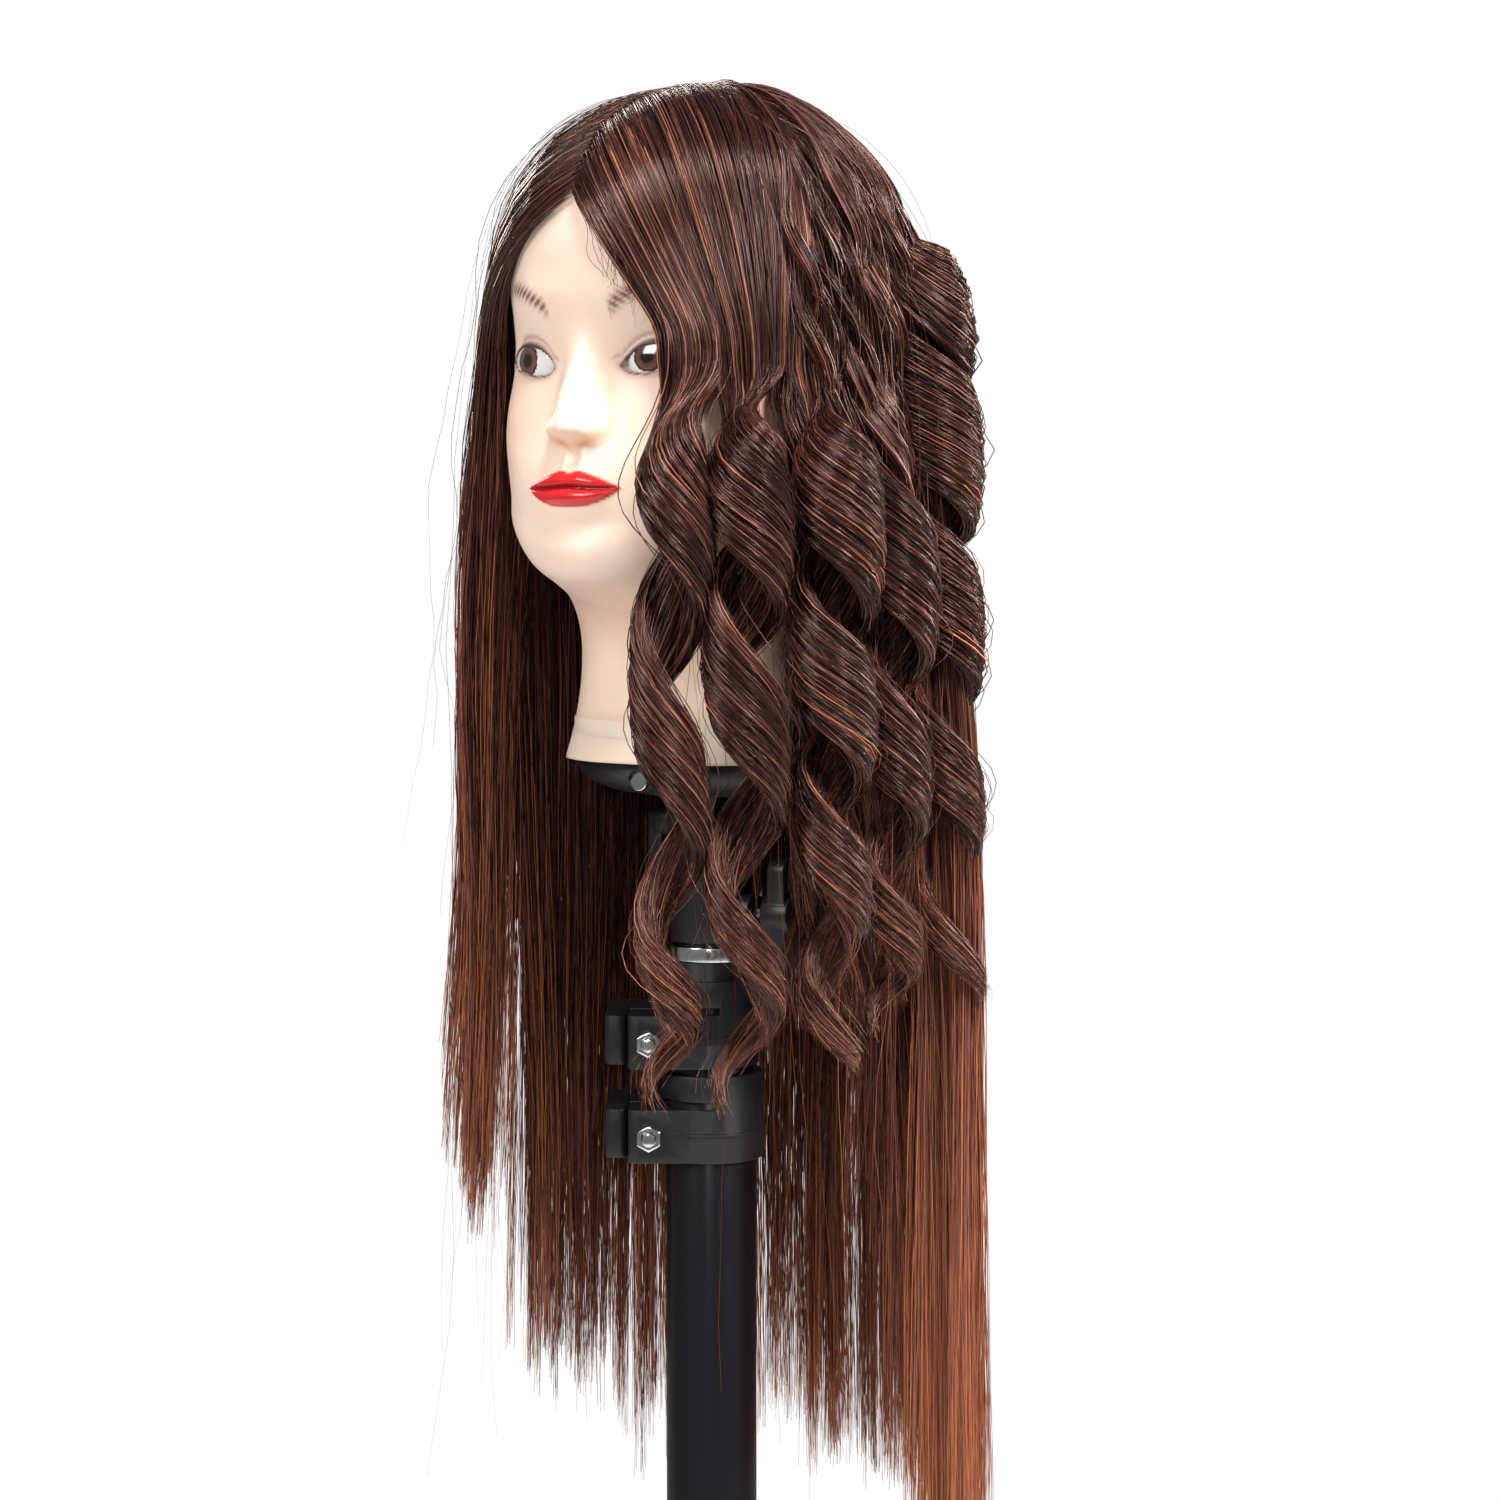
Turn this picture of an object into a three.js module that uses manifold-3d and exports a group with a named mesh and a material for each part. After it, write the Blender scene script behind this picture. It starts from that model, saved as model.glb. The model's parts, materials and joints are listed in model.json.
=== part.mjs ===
// Mannequin training head on a telescoping tripod stand.
// Millimetres, +Z up, origin on the floor under the post, the face looks along -Y.
import * as THREE from "three";
import { mergeVertices } from "three/addons/utils/BufferGeometryUtils.js";
import Module from "manifold-3d";

const wasm = await Module();
wasm.setup();

// ---------------------------------------------------------------- driving dimensions

const seatGap = 0.3; // between two pieces that touch
const runningGap = 0.5; // between a tube and what slides or turns on it
const faceAngle = 33; // degrees the clamps are turned on the post, towards the user's side

const poleRadius = 20.5; // lower tube, outside
const poleWall = 1.8;
const middleWall = 1.5;
const upperWall = 1.6;
const poleTop = 731.6; // top end of the lower tube
const lockOverlap = 32.6; // how much tube a clamp collar holds
const collarGap = 3.4; // between the two clamps when the post is down
const tubeOverlap = 80; // tube left inside the one below at full height
const middleTravel = 300;
const upperTravel = 280;

const bandHeight = 24; // split band of a clamp
const bandSlot = 3.5; // cross slot between band and sleeve
const collarWall = 3.2;
const lipHeight = 6.3; // top of a collar, closed in on the tube that slides in it
const upperNeckHeight = 8.5; // narrow neck of the upper collar
const trimRingHeight = 6.7;
const boltSetback = 7; // clamp bolt's axis outside the lower tube
const earEnd = 9.5; // ears beyond the bolt's axis
const earDepth = 44; // across both ears
const earSlit = 3;
const boltRadius = 2.9;
const leverThickness = 9.9;
const leverReach = 44; // arm, from the pivot
const leverPinRadius = 2.2;

const barrelWall = 1.5; // swivel barrel over the upper tube
const barrelHeight = 39.5;
const barrelRoof = 6;
const tiltRise = 14; // tilt bolt above the barrel
const knobSpan = 50; // winged swivel knob
const knobWidth = 15;
const forkRadius = 11;
const forkArm = 7;
const tongueHalf = 9;
const plugBossWall = 6; // dish's hub round the plug
const plugRim = 3; // edge of the dish under the cut neck
const neckDrop = 30; // from the head's cut face down to the tilt bolt
const plugScrewRadius = 2.2;
const plugStemRadius = 16;
const plugStemHeight = 54;
const socketWall = 3.6;

const hubHeight = 150; // leg hinges above the floor
const hubWall = 25.5; // hub outside the post
const hubDepth = 34;
const hingeSetback = 15.5; // leg hinges outside the post
const hingePinRadius = 3;
const legReach = 380; // foot centre from the post axis
const legWidth = 16;
const legDepth = 20;
const legWall = 1.8;
const footRadius = 15;
const footWall = 3; // rubber under the leg's end
const tipWall = 2.5; // rubber tip round the post
const tipHeight = 16;
const tipFloor = 6;

const headHeight = 292; // crown above the neck's cut face
const headWidth = 148;
const skinWall = 3.5;
const eyeRadius = 15;
const eyeSpacing = 62;
const eyeHeight = 172; // above the cut face, on a head of nominal height
const eyeDepth = 79; // eye centre in front of the neck axis
const hairThickness = 8;
const hairStandoff = 30; // curtains of hair outside the head
const scalpGap = 2; // between the hair cap and the skin, whose facets differ
const hairLength = 695; // from the crown to the tips

// ---------------------------------------------------------------- derived places

const boltAxisX = poleRadius + boltSetback;
const earReach = boltAxisX + earEnd;
const hubRadius = poleRadius + hubWall;
const hingeRadius = poleRadius + hingeSetback;
const legEndRadius = legDepth / 2 - 3;
const footHeight = 2 * (legEndRadius + footWall);
const tipRadius = poleRadius + tipWall;
const plugBossRadius = plugStemRadius + plugBossWall;
const middleRadius = poleRadius - poleWall - runningGap;
const upperRadius = middleRadius - middleWall - runningGap;
const lowerCollarBase = poleTop - lockOverlap;
const lowerCollarTop = poleTop + lipHeight;
const upperCollarBase = lowerCollarTop + collarGap;
const middleTop = upperCollarBase + lockOverlap;
const upperCollarTop = middleTop + lipHeight + upperNeckHeight;
const trimRingTop = upperCollarTop + trimRingHeight;
const barrelBase = trimRingTop + 1.5;
const barrelTop = barrelBase + barrelHeight;
const upperTop = barrelTop - barrelRoof - seatGap;
const tiltAxisZ = barrelTop + tiltRise;
const neckBase = tiltAxisZ + neckDrop;
const middleBottom = poleTop - tubeOverlap - middleTravel;
const upperBottom = middleTop - tubeOverlap - upperTravel;
const barrelRadius = upperRadius + runningGap + barrelWall;
const knobHeight = barrelBase + 14;
const headScale = headHeight / 292;
const widthScale = headWidth / 148;
const crown = neckBase + headHeight + hairThickness;
const hairBottom = crown - hairLength;

// ---------------------------------------------------------------- finishes

const finish = (color, roughness, metalness) =>
  new THREE.MeshStandardMaterial({ color, roughness, metalness });
const vinyl = finish(0xf6d9c0, 0.45, 0);
const foam = finish(0xe6dcc0, 0.9, 0);
const acrylic = finish(0x4a3028, 0.1, 0);
const hair = finish(0x3a2420, 0.4, 0);
const blackPlastic = finish(0x17181b, 0.45, 0);
const blackTube = finish(0x0d0e10, 0.25, 0.3);
const chrome = finish(0xc8cacc, 0.15, 1);
const rubber = finish(0x1a1a1a, 0.9, 0);

// ---------------------------------------------------------------- solids from geometry

// A three.js geometry as a manifold solid, turned outwards if its faces point in.
function solid(geometry) {
  const bare = geometry.clone();
  bare.deleteAttribute("normal");
  bare.deleteAttribute("uv");
  const merged = mergeVertices(bare, 1e-3);
  const triVerts = new Uint32Array(merged.index.array);
  const build = () =>
    new wasm.Manifold(
      new wasm.Mesh({ numProp: 3, vertProperties: merged.attributes.position.array, triVerts }),
    );
  const made = build();
  if (made.volume() > 0) return made;
  for (let i = 0; i < triVerts.length; i += 3) {
    [triVerts[i + 1], triVerts[i + 2]] = [triVerts[i + 2], triVerts[i + 1]];
  }
  return build();
}

function geometryOf(manifold) {
  const mesh = manifold.getMesh();
  const points = new Float32Array(mesh.numVert * 3);
  for (let i = 0; i < mesh.numVert; i++) {
    points.set(mesh.vertProperties.subarray(i * mesh.numProp, i * mesh.numProp + 3), i * 3);
  }
  const geometry = new THREE.BufferGeometry();
  geometry.setAttribute("position", new THREE.BufferAttribute(points, 3));
  geometry.setIndex(new THREE.BufferAttribute(mesh.triVerts, 1));
  geometry.computeVertexNormals();
  return geometry;
}

const cut = (body, ...tools) => tools.reduce((a, b) => a.subtract(b), body);
const join = (body, ...others) => others.reduce((a, b) => a.add(b), body);

// A solid of revolution about Z from [radius, height] pairs, closed on itself or ending on the axis.
function turned(profile, segments = 24) {
  const points = profile.map(([r, z]) => new THREE.Vector2(r, z));
  if (profile[0][0] > 0) points.push(points[0].clone());
  return solid(new THREE.LatheGeometry(points, segments).rotateX(Math.PI / 2));
}

const pipe = (outer, inner, z0, z1, segments) =>
  turned([[inner, z0], [outer, z0], [outer, z1], [inner, z1]], segments);
const disc = (radius, z0, z1, segments) =>
  turned([[0, z0], [radius, z0], [radius, z1], [0, z1]], segments);

// A round rod between two points along one axis: "x", "y" or "z".
function rod(radius, axis, from, to, at, segments = 16) {
  const geometry = new THREE.CylinderGeometry(radius, radius, to - from, segments);
  if (axis === "x") geometry.rotateZ(Math.PI / 2);
  if (axis === "z") geometry.rotateX(Math.PI / 2);
  const middle = (from + to) / 2;
  const [a, b] = at;
  const place = { x: [middle, a, b], y: [a, middle, b], z: [a, b, middle] }[axis];
  return solid(geometry.translate(...place));
}

function block(x0, x1, y0, y1, z0, z1) {
  const geometry = new THREE.BoxGeometry(x1 - x0, y1 - y0, z1 - z0);
  return solid(geometry.translate((x0 + x1) / 2, (y0 + y1) / 2, (z0 + z1) / 2));
}

// An upright prism over a plan outline of [x, y] pairs, or over a Shape.
function prism(outline, z0, z1, curveSegments = 5) {
  const shape = Array.isArray(outline)
    ? new THREE.Shape(outline.map(([x, y]) => new THREE.Vector2(x, y)))
    : outline;
  const settings = { depth: z1 - z0, bevelEnabled: false, curveSegments };
  return solid(new THREE.ExtrudeGeometry(shape, settings).translate(0, 0, z0));
}

function roundedPlan(x0, x1, y0, y1, r) {
  const shape = new THREE.Shape();
  shape.absarc(x1 - r, y1 - r, r, 0, Math.PI / 2);
  shape.absarc(x0 + r, y1 - r, r, Math.PI / 2, Math.PI);
  shape.absarc(x0 + r, y0 + r, r, Math.PI, 1.5 * Math.PI);
  shape.absarc(x1 - r, y0 + r, r, 1.5 * Math.PI, 2 * Math.PI);
  return shape;
}

const root = new THREE.Group();

function add(name, manifold, material, parent = root) {
  const mesh = new THREE.Mesh(geometryOf(manifold), material);
  mesh.name = name;
  parent.add(mesh);
  return mesh;
}

// ---------------------------------------------------------------- head surface

// Rings of the head from the cut face to the crown. Each row holds the ring's reach and height
// at the front, its reach and height at the back, then its half width and height at the side.
const headRings = [
  [66, 0, 46, 0, 60, 0],
  [60, 16, 48, 18, 57, 17],
  [57, 34, 50, 42, 54.5, 38],
  [58, 51, 54, 66, 54.5, 59],
  [66, 64, 58, 86, 57, 77],
  [82, 72, 64, 103, 61, 92],
  [98, 80, 71, 118, 66, 105],
  [104, 91, 77, 131, 71, 118],
  [104, 102, 82, 144, 73, 130],
  [104, 114, 86, 156, 73.8, 141],
  [103, 125, 89, 167, 74, 152],
  [100, 137, 91, 178, 74, 163],
  [97, 152, 92, 189, 74, 175],
  [96, 168, 92, 200, 74, 187],
  [98, 184, 91.5, 211, 73.6, 200],
  [102, 202, 89.5, 223, 73, 214],
  [103, 222, 85, 237, 71, 230],
  [99, 241, 77, 252, 66.5, 247],
  [87, 260, 64, 267, 56, 264],
  [66, 276, 46, 279, 41, 278],
  [37, 287, 25, 288, 22, 287.5],
  [0, 292, 0, 292, 0, 292],
];

// Catmull-Rom interpolation of one column of the ring table at t from 0 to 1.
function ringValue(column, t) {
  const last = headRings.length - 1;
  const place = Math.min(t * last, last - 1e-9);
  const i = Math.floor(place);
  const u = place - i;
  const at = (k) => headRings[Math.min(Math.max(k, 0), last)][column];
  const [a, b, c, d] = [at(i - 1), at(i), at(i + 1), at(i + 2)];
  return b + 0.5 * u * (c - a + u * (2 * a - 5 * b + 4 * c - d + u * (3 * (b - c) + d - a)));
}

const bump = (x, z, cx, cz, sx, sz) => Math.exp(-(((x - cx) / sx) ** 2) - ((z - cz) / sz) ** 2);

// How far the face stands out in front of the plain rings.
function faceRelief(x, z) {
  const side = Math.abs(x);
  const bridge = bump(x, z, 0, 162, 7, 16) * 9 + bump(x, z, 0, 145, 8.5, 9) * 14;
  const wings = bump(side, z, 11, 142, 5, 5) * 7;
  const sockets = -bump(side, z, eyeSpacing / 2, eyeHeight, 17, 11) * 5;
  const brow = bump(side, z, 24, 198, 20, 9) * 2;
  const cheeks = bump(side, z, 44, 150, 18, 18) * 3;
  const lips = bump(x, z, 0, 118, 20, 9) * 4;
  const chin = bump(x, z, 0, 88, 16, 9) * 3;
  return bridge + wings + sockets + brow + cheeks + lips + chin;
}

// A point of the head's surface: turn is 0 at the face and a quarter turn at the left ear.
function headPoint(turn, t, inset) {
  const [front, frontZ, back, backZ, half, sideZ] = [0, 1, 2, 3, 4, 5].map((c) => ringValue(c, t));
  const c = Math.cos(turn);
  const s = Math.sin(turn);
  const reach = c > 0 ? front : back;
  const endZ = c > 0 ? frontZ : backZ;
  const z = sideZ + (endZ - sideZ) * c * c;
  const x = half * s;
  const relief = inset > 0 || c <= 0 ? 0 : faceRelief(x, z) * Math.min(1, 2 * c);
  const shrink = 1 - inset / Math.max(half, inset + 1);
  const lowered = z - inset * THREE.MathUtils.smoothstep(z, 200, 292);
  return [
    x * shrink * widthScale,
    -(c * reach + (inset > 0 ? Math.sign(c) * -inset * Math.abs(c) : relief)) * headScale,
    lowered * headScale + neckBase,
  ];
}

// The head as one closed solid, or the same shape set in by a wall's thickness.
function headSolid(columns, rows, inset = 0, sink = 0) {
  const points = [0, 0, neckBase - sink];
  for (let j = 0; j < rows; j++) {
    for (let i = 0; i < columns; i++) {
      const [x, y, z] = headPoint((2 * Math.PI * i) / columns, j / rows, inset);
      points.push(x, y, j ? z : z - sink);
    }
  }
  points.push(0, 0, headPoint(0, 1, 0)[2] - inset);
  const top = points.length / 3 - 1;
  const index = [];
  const at = (j, i) => 1 + j * columns + (i % columns);
  for (let i = 0; i < columns; i++) {
    index.push(0, at(0, i), at(0, i + 1), top, at(rows - 1, i + 1), at(rows - 1, i));
    for (let j = 0; j < rows - 1; j++) {
      index.push(at(j, i), at(j + 1, i), at(j + 1, i + 1));
      index.push(at(j, i), at(j + 1, i + 1), at(j, i + 1));
    }
  }
  const geometry = new THREE.BufferGeometry();
  geometry.setAttribute("position", new THREE.Float32BufferAttribute(points, 3));
  geometry.setIndex(index);
  return solid(geometry);
}

// ---------------------------------------------------------------- head

const eyePlaces = [-1, 1].map((side) => [
  (side * eyeSpacing * widthScale) / 2,
  -eyeDepth * headScale,
  neckBase + eyeHeight * headScale,
]);

const ball = (radius, [x, y, z]) =>
  solid(new THREE.SphereGeometry(radius, 12, 8).translate(x, y, z));

function makeHead() {
  const socketRadius = plugStemRadius + runningGap + socketWall;
  const socketTop = neckBase + plugStemHeight;
  const pockets = eyePlaces.map((place) => ball(eyeRadius + 2 * seatGap, place));
  const outer = headSolid(30, 30);
  const inner = headSolid(16, 12, skinWall, 2);
  add("vinyl_skin", cut(outer, inner, ...pockets), vinyl);

  const filling = headSolid(16, 12, skinWall + 3 * seatGap);
  const below = block(-200, 200, -200, 200, neckBase - 50, neckBase + seatGap);
  const bore = disc(socketRadius + seatGap, neckBase - 1, socketTop + seatGap);
  add("foam_core", cut(filling, below, bore, ...pockets), foam);
  const socket = pipe(socketRadius, socketRadius - socketWall, neckBase + seatGap, socketTop);
  add("neck_socket", socket, blackPlastic);
  eyePlaces.forEach((place, i) => {
    add(i ? "left_eye" : "right_eye", ball(eyeRadius, place), acrylic);
  });
}

// ---------------------------------------------------------------- hair

// A hanging curtain of hair: a band of an oval in plan between two turns from the face.
function curtain(halfWidth, halfDepth, centreY, fromDegrees, toDegrees, z0, z1) {
  const steps = 9;
  const edge = (offset, k) => {
    const turn = THREE.MathUtils.degToRad(fromDegrees + ((toDegrees - fromDegrees) * k) / steps);
    return [(halfWidth + offset) * Math.sin(turn), centreY - (halfDepth + offset) * Math.cos(turn)];
  };
  const ks = Array.from({ length: steps + 1 }, (_, k) => k);
  const outside = ks.map((k) => edge(hairThickness / 2, k));
  const inside = ks.map((k) => edge(-hairThickness / 2, k)).reverse();
  return prism([...outside, ...inside], z0, z1);
}

// A ringlet's outer shape: a slim cone hanging from the temple, blunt at both ends.
function ringlet([x, y], topRadius, z0, z1) {
  const body = disc(topRadius, z0, z1, 12);
  const shape = turned(
    [
      [0, z0], [topRadius * 0.45, z0], [topRadius, z0 + (z1 - z0) * 0.6],
      [topRadius, z1 - 12], [topRadius * 0.6, z1], [0, z1],
    ],
    12,
  );
  return body.intersect(shape).translate([x, y, 0]);
}

// Plan places, tips and roots of the ringlets, from the left cheek back to behind the left ear.
const ringlets = [
  { at: [47, -106], radius: 15, tip: 145, root: 160 },
  { at: [76, -86], radius: 15, tip: 150, root: 160 },
  { at: [99, -50], radius: 15, tip: 132, root: 150 },
  { at: [106, -8], radius: 15, tip: 140, root: 146 },
  { at: [107, 32], radius: 16, tip: 110, root: 150 },
];

function makeHair() {
  const swell = 1 + hairThickness / 78;
  const lift = 1 + scalpGap / 72;
  const middle = neckBase + 190 * headScale;
  const grown = (k) => {
    const shape = headSolid(24, 20);
    return shape.translate([0, 0, -middle]).scale([k, k, k]).translate([0, 0, middle]);
  };
  const hairline = neckBase + 222 * headScale;
  const nape = neckBase + 150 * headScale;
  const slope = (hairline - nape) / 190;
  const lowerHalf = solid(
    new THREE.BoxGeometry(500, 500, 400).translate(0, 0, -200).rotateX(-Math.atan(slope)),
  ).translate([0, 0, (hairline + nape) / 2]);
  const forehead = solid(new THREE.SphereGeometry(52, 16, 10)).scale([1, 1, 1.35]);
  const brow = forehead.translate([0, -112 * headScale, neckBase + 195 * headScale]);
  add("hair_crown", cut(grown(swell), grown(lift), lowerHalf, brow), hair);

  const sideTop = neckBase + 205 * headScale;
  const halfWidth = headWidth / 2 + hairStandoff;
  const frontDepth = 79 * headScale + hairStandoff;
  const backDepth = 83 * headScale + hairStandoff;
  add("hair_right_side", curtain(halfWidth, frontDepth, -4, -38, -98, hairBottom + 20, sideTop), hair);
  add("hair_back_right", curtain(halfWidth, backDepth, 4, -101, -179, hairBottom, nape), hair);
  add("hair_back_left", curtain(halfWidth, backDepth, 4, 124, 179, hairBottom, nape), hair);
  ringlets.forEach(({ at, radius, tip, root: top }, i) => {
    const [z0, z1] = [neckBase - tip, neckBase + top * headScale];
    add(`ringlet_${i + 1}`, ringlet([at[0] * widthScale, at[1] * headScale], radius, z0, z1), hair);
  });
}

// ---------------------------------------------------------------- neck plug and tilting fork

function makePlug() {
  const [neckFront, , , , neckHalfWidth] = headRings[0];
  const dishRadius = Math.min(neckFront * headScale, neckHalfWidth * widthScale);
  const flangeTop = neckBase - seatGap;
  const dishBase = tiltAxisZ + forkRadius + 2;
  const dishDepth = flangeTop - plugRim - dishBase;
  const stem = disc(plugStemRadius, dishBase - 1, neckBase + plugStemHeight - 4);
  const tongue = join(
    rod(forkRadius, "x", -tongueHalf, tongueHalf, [0, tiltAxisZ], 20),
    block(-tongueHalf, tongueHalf, -forkRadius, forkRadius, tiltAxisZ, dishBase),
  );
  const boltHole = rod(boltRadius + seatGap, "x", -30, 30, [0, tiltAxisZ]);
  const screwZ = dishBase + 9;
  const screwSeat = -dishRadius + 6;
  const screwEnd = -plugStemRadius + 7;
  const screwHole = rod(plugScrewRadius + seatGap, "y", screwSeat - 1, screwEnd + 1, [0, screwZ], 12);
  add("plug_stem", cut(join(stem, tongue), boltHole, screwHole), blackPlastic);

  const underside = Array.from({ length: 6 }, (_, i) => {
    const turn = (i / 5) * (Math.PI / 2);
    const reach = dishRadius - plugBossRadius;
    return [plugBossRadius + reach * Math.sin(turn), dishBase + dishDepth * (1 - Math.cos(turn))];
  });
  const bore = plugStemRadius + seatGap;
  const dish = turned([
    [bore, dishBase], ...underside, [dishRadius, flangeTop - 1],
    [dishRadius - 1, flangeTop], [bore, flangeTop],
  ], 36);
  const headSeat = rod(plugScrewRadius * 2 + seatGap, "y", -dishRadius - 1, screwSeat, [0, screwZ], 14);
  add("neck_dish", cut(dish, screwHole, headSeat), blackPlastic);
  const screw = join(
    rod(plugScrewRadius, "y", screwSeat, screwEnd, [0, screwZ], 12),
    rod(plugScrewRadius * 2, "y", screwSeat - 3, screwSeat - seatGap, [0, screwZ], 14),
    rod(plugScrewRadius, "y", screwSeat - 1, screwSeat + 1, [0, screwZ], 12),
  );
  add("plug_screw", screw, chrome);
}

function makeFork() {
  const innerRadius = barrelRadius - barrelWall;
  const armIn = tongueHalf + runningGap;
  const armOut = armIn + forkArm;
  const barrel = disc(barrelRadius, barrelBase, barrelTop);
  const hollow = disc(innerRadius, barrelBase - 1, barrelTop - barrelRoof);
  const boss = rod(8, "x", barrelRadius - 4, barrelRadius + 6, [0, knobHeight], 16);
  const arms = [-1, 1].map((side) => {
    const [x0, x1] = side < 0 ? [-armOut, -armIn] : [armIn, armOut];
    return join(
      rod(forkRadius, "x", x0, x1, [0, tiltAxisZ], 20),
      block(x0, x1, -forkRadius, forkRadius, barrelTop - 1, tiltAxisZ),
    );
  });
  const foot = disc(barrelRadius, barrelTop - 1, barrelTop + tiltRise / 8);
  const knobHole = rod(boltRadius + seatGap, "x", 0, 60, [0, knobHeight]);
  const boltHole = rod(boltRadius + seatGap, "x", -30, 30, [0, tiltAxisZ]);
  add("tilt_fork", cut(join(barrel, foot, boss, ...arms), hollow, knobHole, boltHole), blackPlastic);

  const headX = armOut + seatGap;
  const bolt = join(
    rod(boltRadius, "x", -armOut - 16, headX + 1, [0, tiltAxisZ]),
    rod(6, "x", headX, headX + 5, [0, tiltAxisZ], 6),
  );
  add("tilt_bolt", bolt, chrome);
  makeTiltLever(-armOut - seatGap);

  const knobIn = barrelRadius + 13;
  const screwIn = upperRadius + runningGap;
  const hub = rod(9, "x", knobIn, knobIn + 14, [0, knobHeight], 18);
  const wingPlan = roundedPlan(-knobWidth / 2, knobWidth / 2, -knobSpan / 2, knobSpan / 2, 6);
  const wing = solid(
    new THREE.ExtrudeGeometry(wingPlan, { depth: 9, bevelEnabled: false, curveSegments: 4 })
      .rotateX(Math.PI / 2)
      .rotateZ(Math.PI / 2)
      .translate(knobIn + 3, 0, knobHeight),
  );
  const screwHole = rod(boltRadius + seatGap, "x", knobIn - 1, knobIn + 10, [0, knobHeight]);
  add("swivel_knob", cut(join(hub, wing), screwHole), blackPlastic);
  add("swivel_knob_screw", rod(boltRadius, "x", screwIn, knobIn + 9, [0, knobHeight]), chrome);
}

// A cranked lever that locks the tilt, on the end of the tilt bolt.
function makeTiltLever(outX) {
  const leverHub = rod(8, "x", outX - 9, outX, [0, tiltAxisZ], 18);
  const arm = block(outX - 14, outX - 7, -5, 5, tiltAxisZ - 40, tiltAxisZ + 2);
  const tip = rod(5, "x", outX - 14, outX - 7, [0, tiltAxisZ - 40], 14);
  const hole = rod(boltRadius + seatGap, "x", outX - 16, outX + 1, [0, tiltAxisZ]);
  add("tilt_lever", cut(join(leverHub, arm, tip), hole), blackPlastic);
}

// ---------------------------------------------------------------- clamps on the post

// One split clamp: its collar is drawn with the ears towards -X, then turned on the post.
function makeClamp(name, base, tubeTop, holdRadius, slideRadius, neck) {
  const turn = new THREE.Group();
  turn.rotation.z = THREE.MathUtils.degToRad(faceAngle);
  root.add(turn);
  const outside = holdRadius + collarWall;
  const bandTop = base + bandHeight;
  const sleeveTop = tubeTop + lipHeight;
  const top = sleeveTop + neck;
  const middle = base + bandHeight / 2;

  const sleeve = disc(outside, base, sleeveTop);
  const neckRing = neck > 0 ? [disc(outside - 3, sleeveTop - 1, top)] : [];
  const ears = prism(roundedPlan(-earReach, 4, -earDepth / 2, earDepth / 2, 4), base, bandTop);
  const rib = pipe(outside + 1, outside - 1, middle - 1.5, middle + 1.5);
  const hold = disc(holdRadius + seatGap, base - 1, tubeTop + seatGap);
  const slide = disc(slideRadius + runningGap, base - 1, top + 1);
  const slit = block(-earReach - 5, 0, -earSlit / 2, earSlit / 2, base - 1, bandTop + bandSlot);
  const crossSlot = block(-earReach - 5, 4, -40, 10, bandTop, bandTop + bandSlot);
  const boltHole = rod(boltRadius + 2 * seatGap, "y", -40, 40, [-boltAxisX, middle]);
  const collar = cut(join(sleeve, ears, rib, ...neckRing), hold, slide, slit, crossSlot, boltHole);
  add(`${name}_collar`, collar, blackPlastic, turn);

  const nutFace = earDepth / 2 + seatGap;
  const pivotY = earDepth / 2 + 8;
  const pinHole = rod(leverPinRadius + seatGap, "z", base, bandTop, [-boltAxisX, pivotY], 12);
  const shank = rod(boltRadius, "y", -nutFace - 8, pivotY, [-boltAxisX, middle]);
  const eye = rod(5.5, "z", middle - 3, middle + 3, [-boltAxisX, pivotY], 14);
  add(`${name}_bolt`, cut(join(shank, eye), pinHole), chrome, turn);

  const nut = rod(6, "y", -nutFace - 5, -nutFace, [-boltAxisX, middle], 6);
  const nutHole = rod(boltRadius + seatGap, "y", -nutFace - 6, 0, [-boltAxisX, middle]);
  add(`${name}_nut`, cut(nut, nutHole), chrome, turn);
  const pin = rod(leverPinRadius, "z", base + 0.5, bandTop - 0.5, [-boltAxisX, pivotY], 12);
  add(`${name}_lever_pin`, pin, chrome, turn);

  const [low, high] = [base + 1, bandTop - 1];
  const leftFace = -earReach - 2 * seatGap;
  const cam = rod(7.5, "z", low, high, [-boltAxisX, pivotY], 16);
  const elbow = prism(
    roundedPlan(leftFace - leverThickness, -boltAxisX, earDepth / 2 + 2 * seatGap, pivotY + 7, 3),
    low,
    high,
  );
  const arm = prism(
    roundedPlan(leftFace - leverThickness, leftFace, pivotY - leverReach, pivotY + 7, 4),
    low,
    high,
  );
  const [slotLeft, slotRight] = [-boltAxisX - 10, -boltAxisX + 10];
  const eyeSlot = block(slotLeft, slotRight, pivotY - 9, pivotY + 9, middle - 3.6, middle + 3.6);
  const lever = cut(join(cam, elbow, arm), eyeSlot, pinHole);
  add(`${name}_lever`, lever, blackPlastic, turn);
}

// ---------------------------------------------------------------- post and legs

function makePost() {
  add("lower_tube", pipe(poleRadius, poleRadius - poleWall, tipFloor + seatGap, poleTop), blackTube);
  add("middle_tube", pipe(middleRadius, middleRadius - middleWall, middleBottom, middleTop), blackTube);
  add("upper_tube", pipe(upperRadius, upperRadius - upperWall, upperBottom, upperTop), blackTube);
  const trim = pipe(upperRadius + 4, upperRadius + runningGap, upperCollarTop + seatGap, trimRingTop);
  add("trim_ring", trim, chrome);
  const tip = cut(disc(tipRadius, 0, tipHeight), disc(poleRadius + seatGap, tipFloor, tipHeight + 1));
  add("post_tip", tip, rubber);
}

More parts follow.
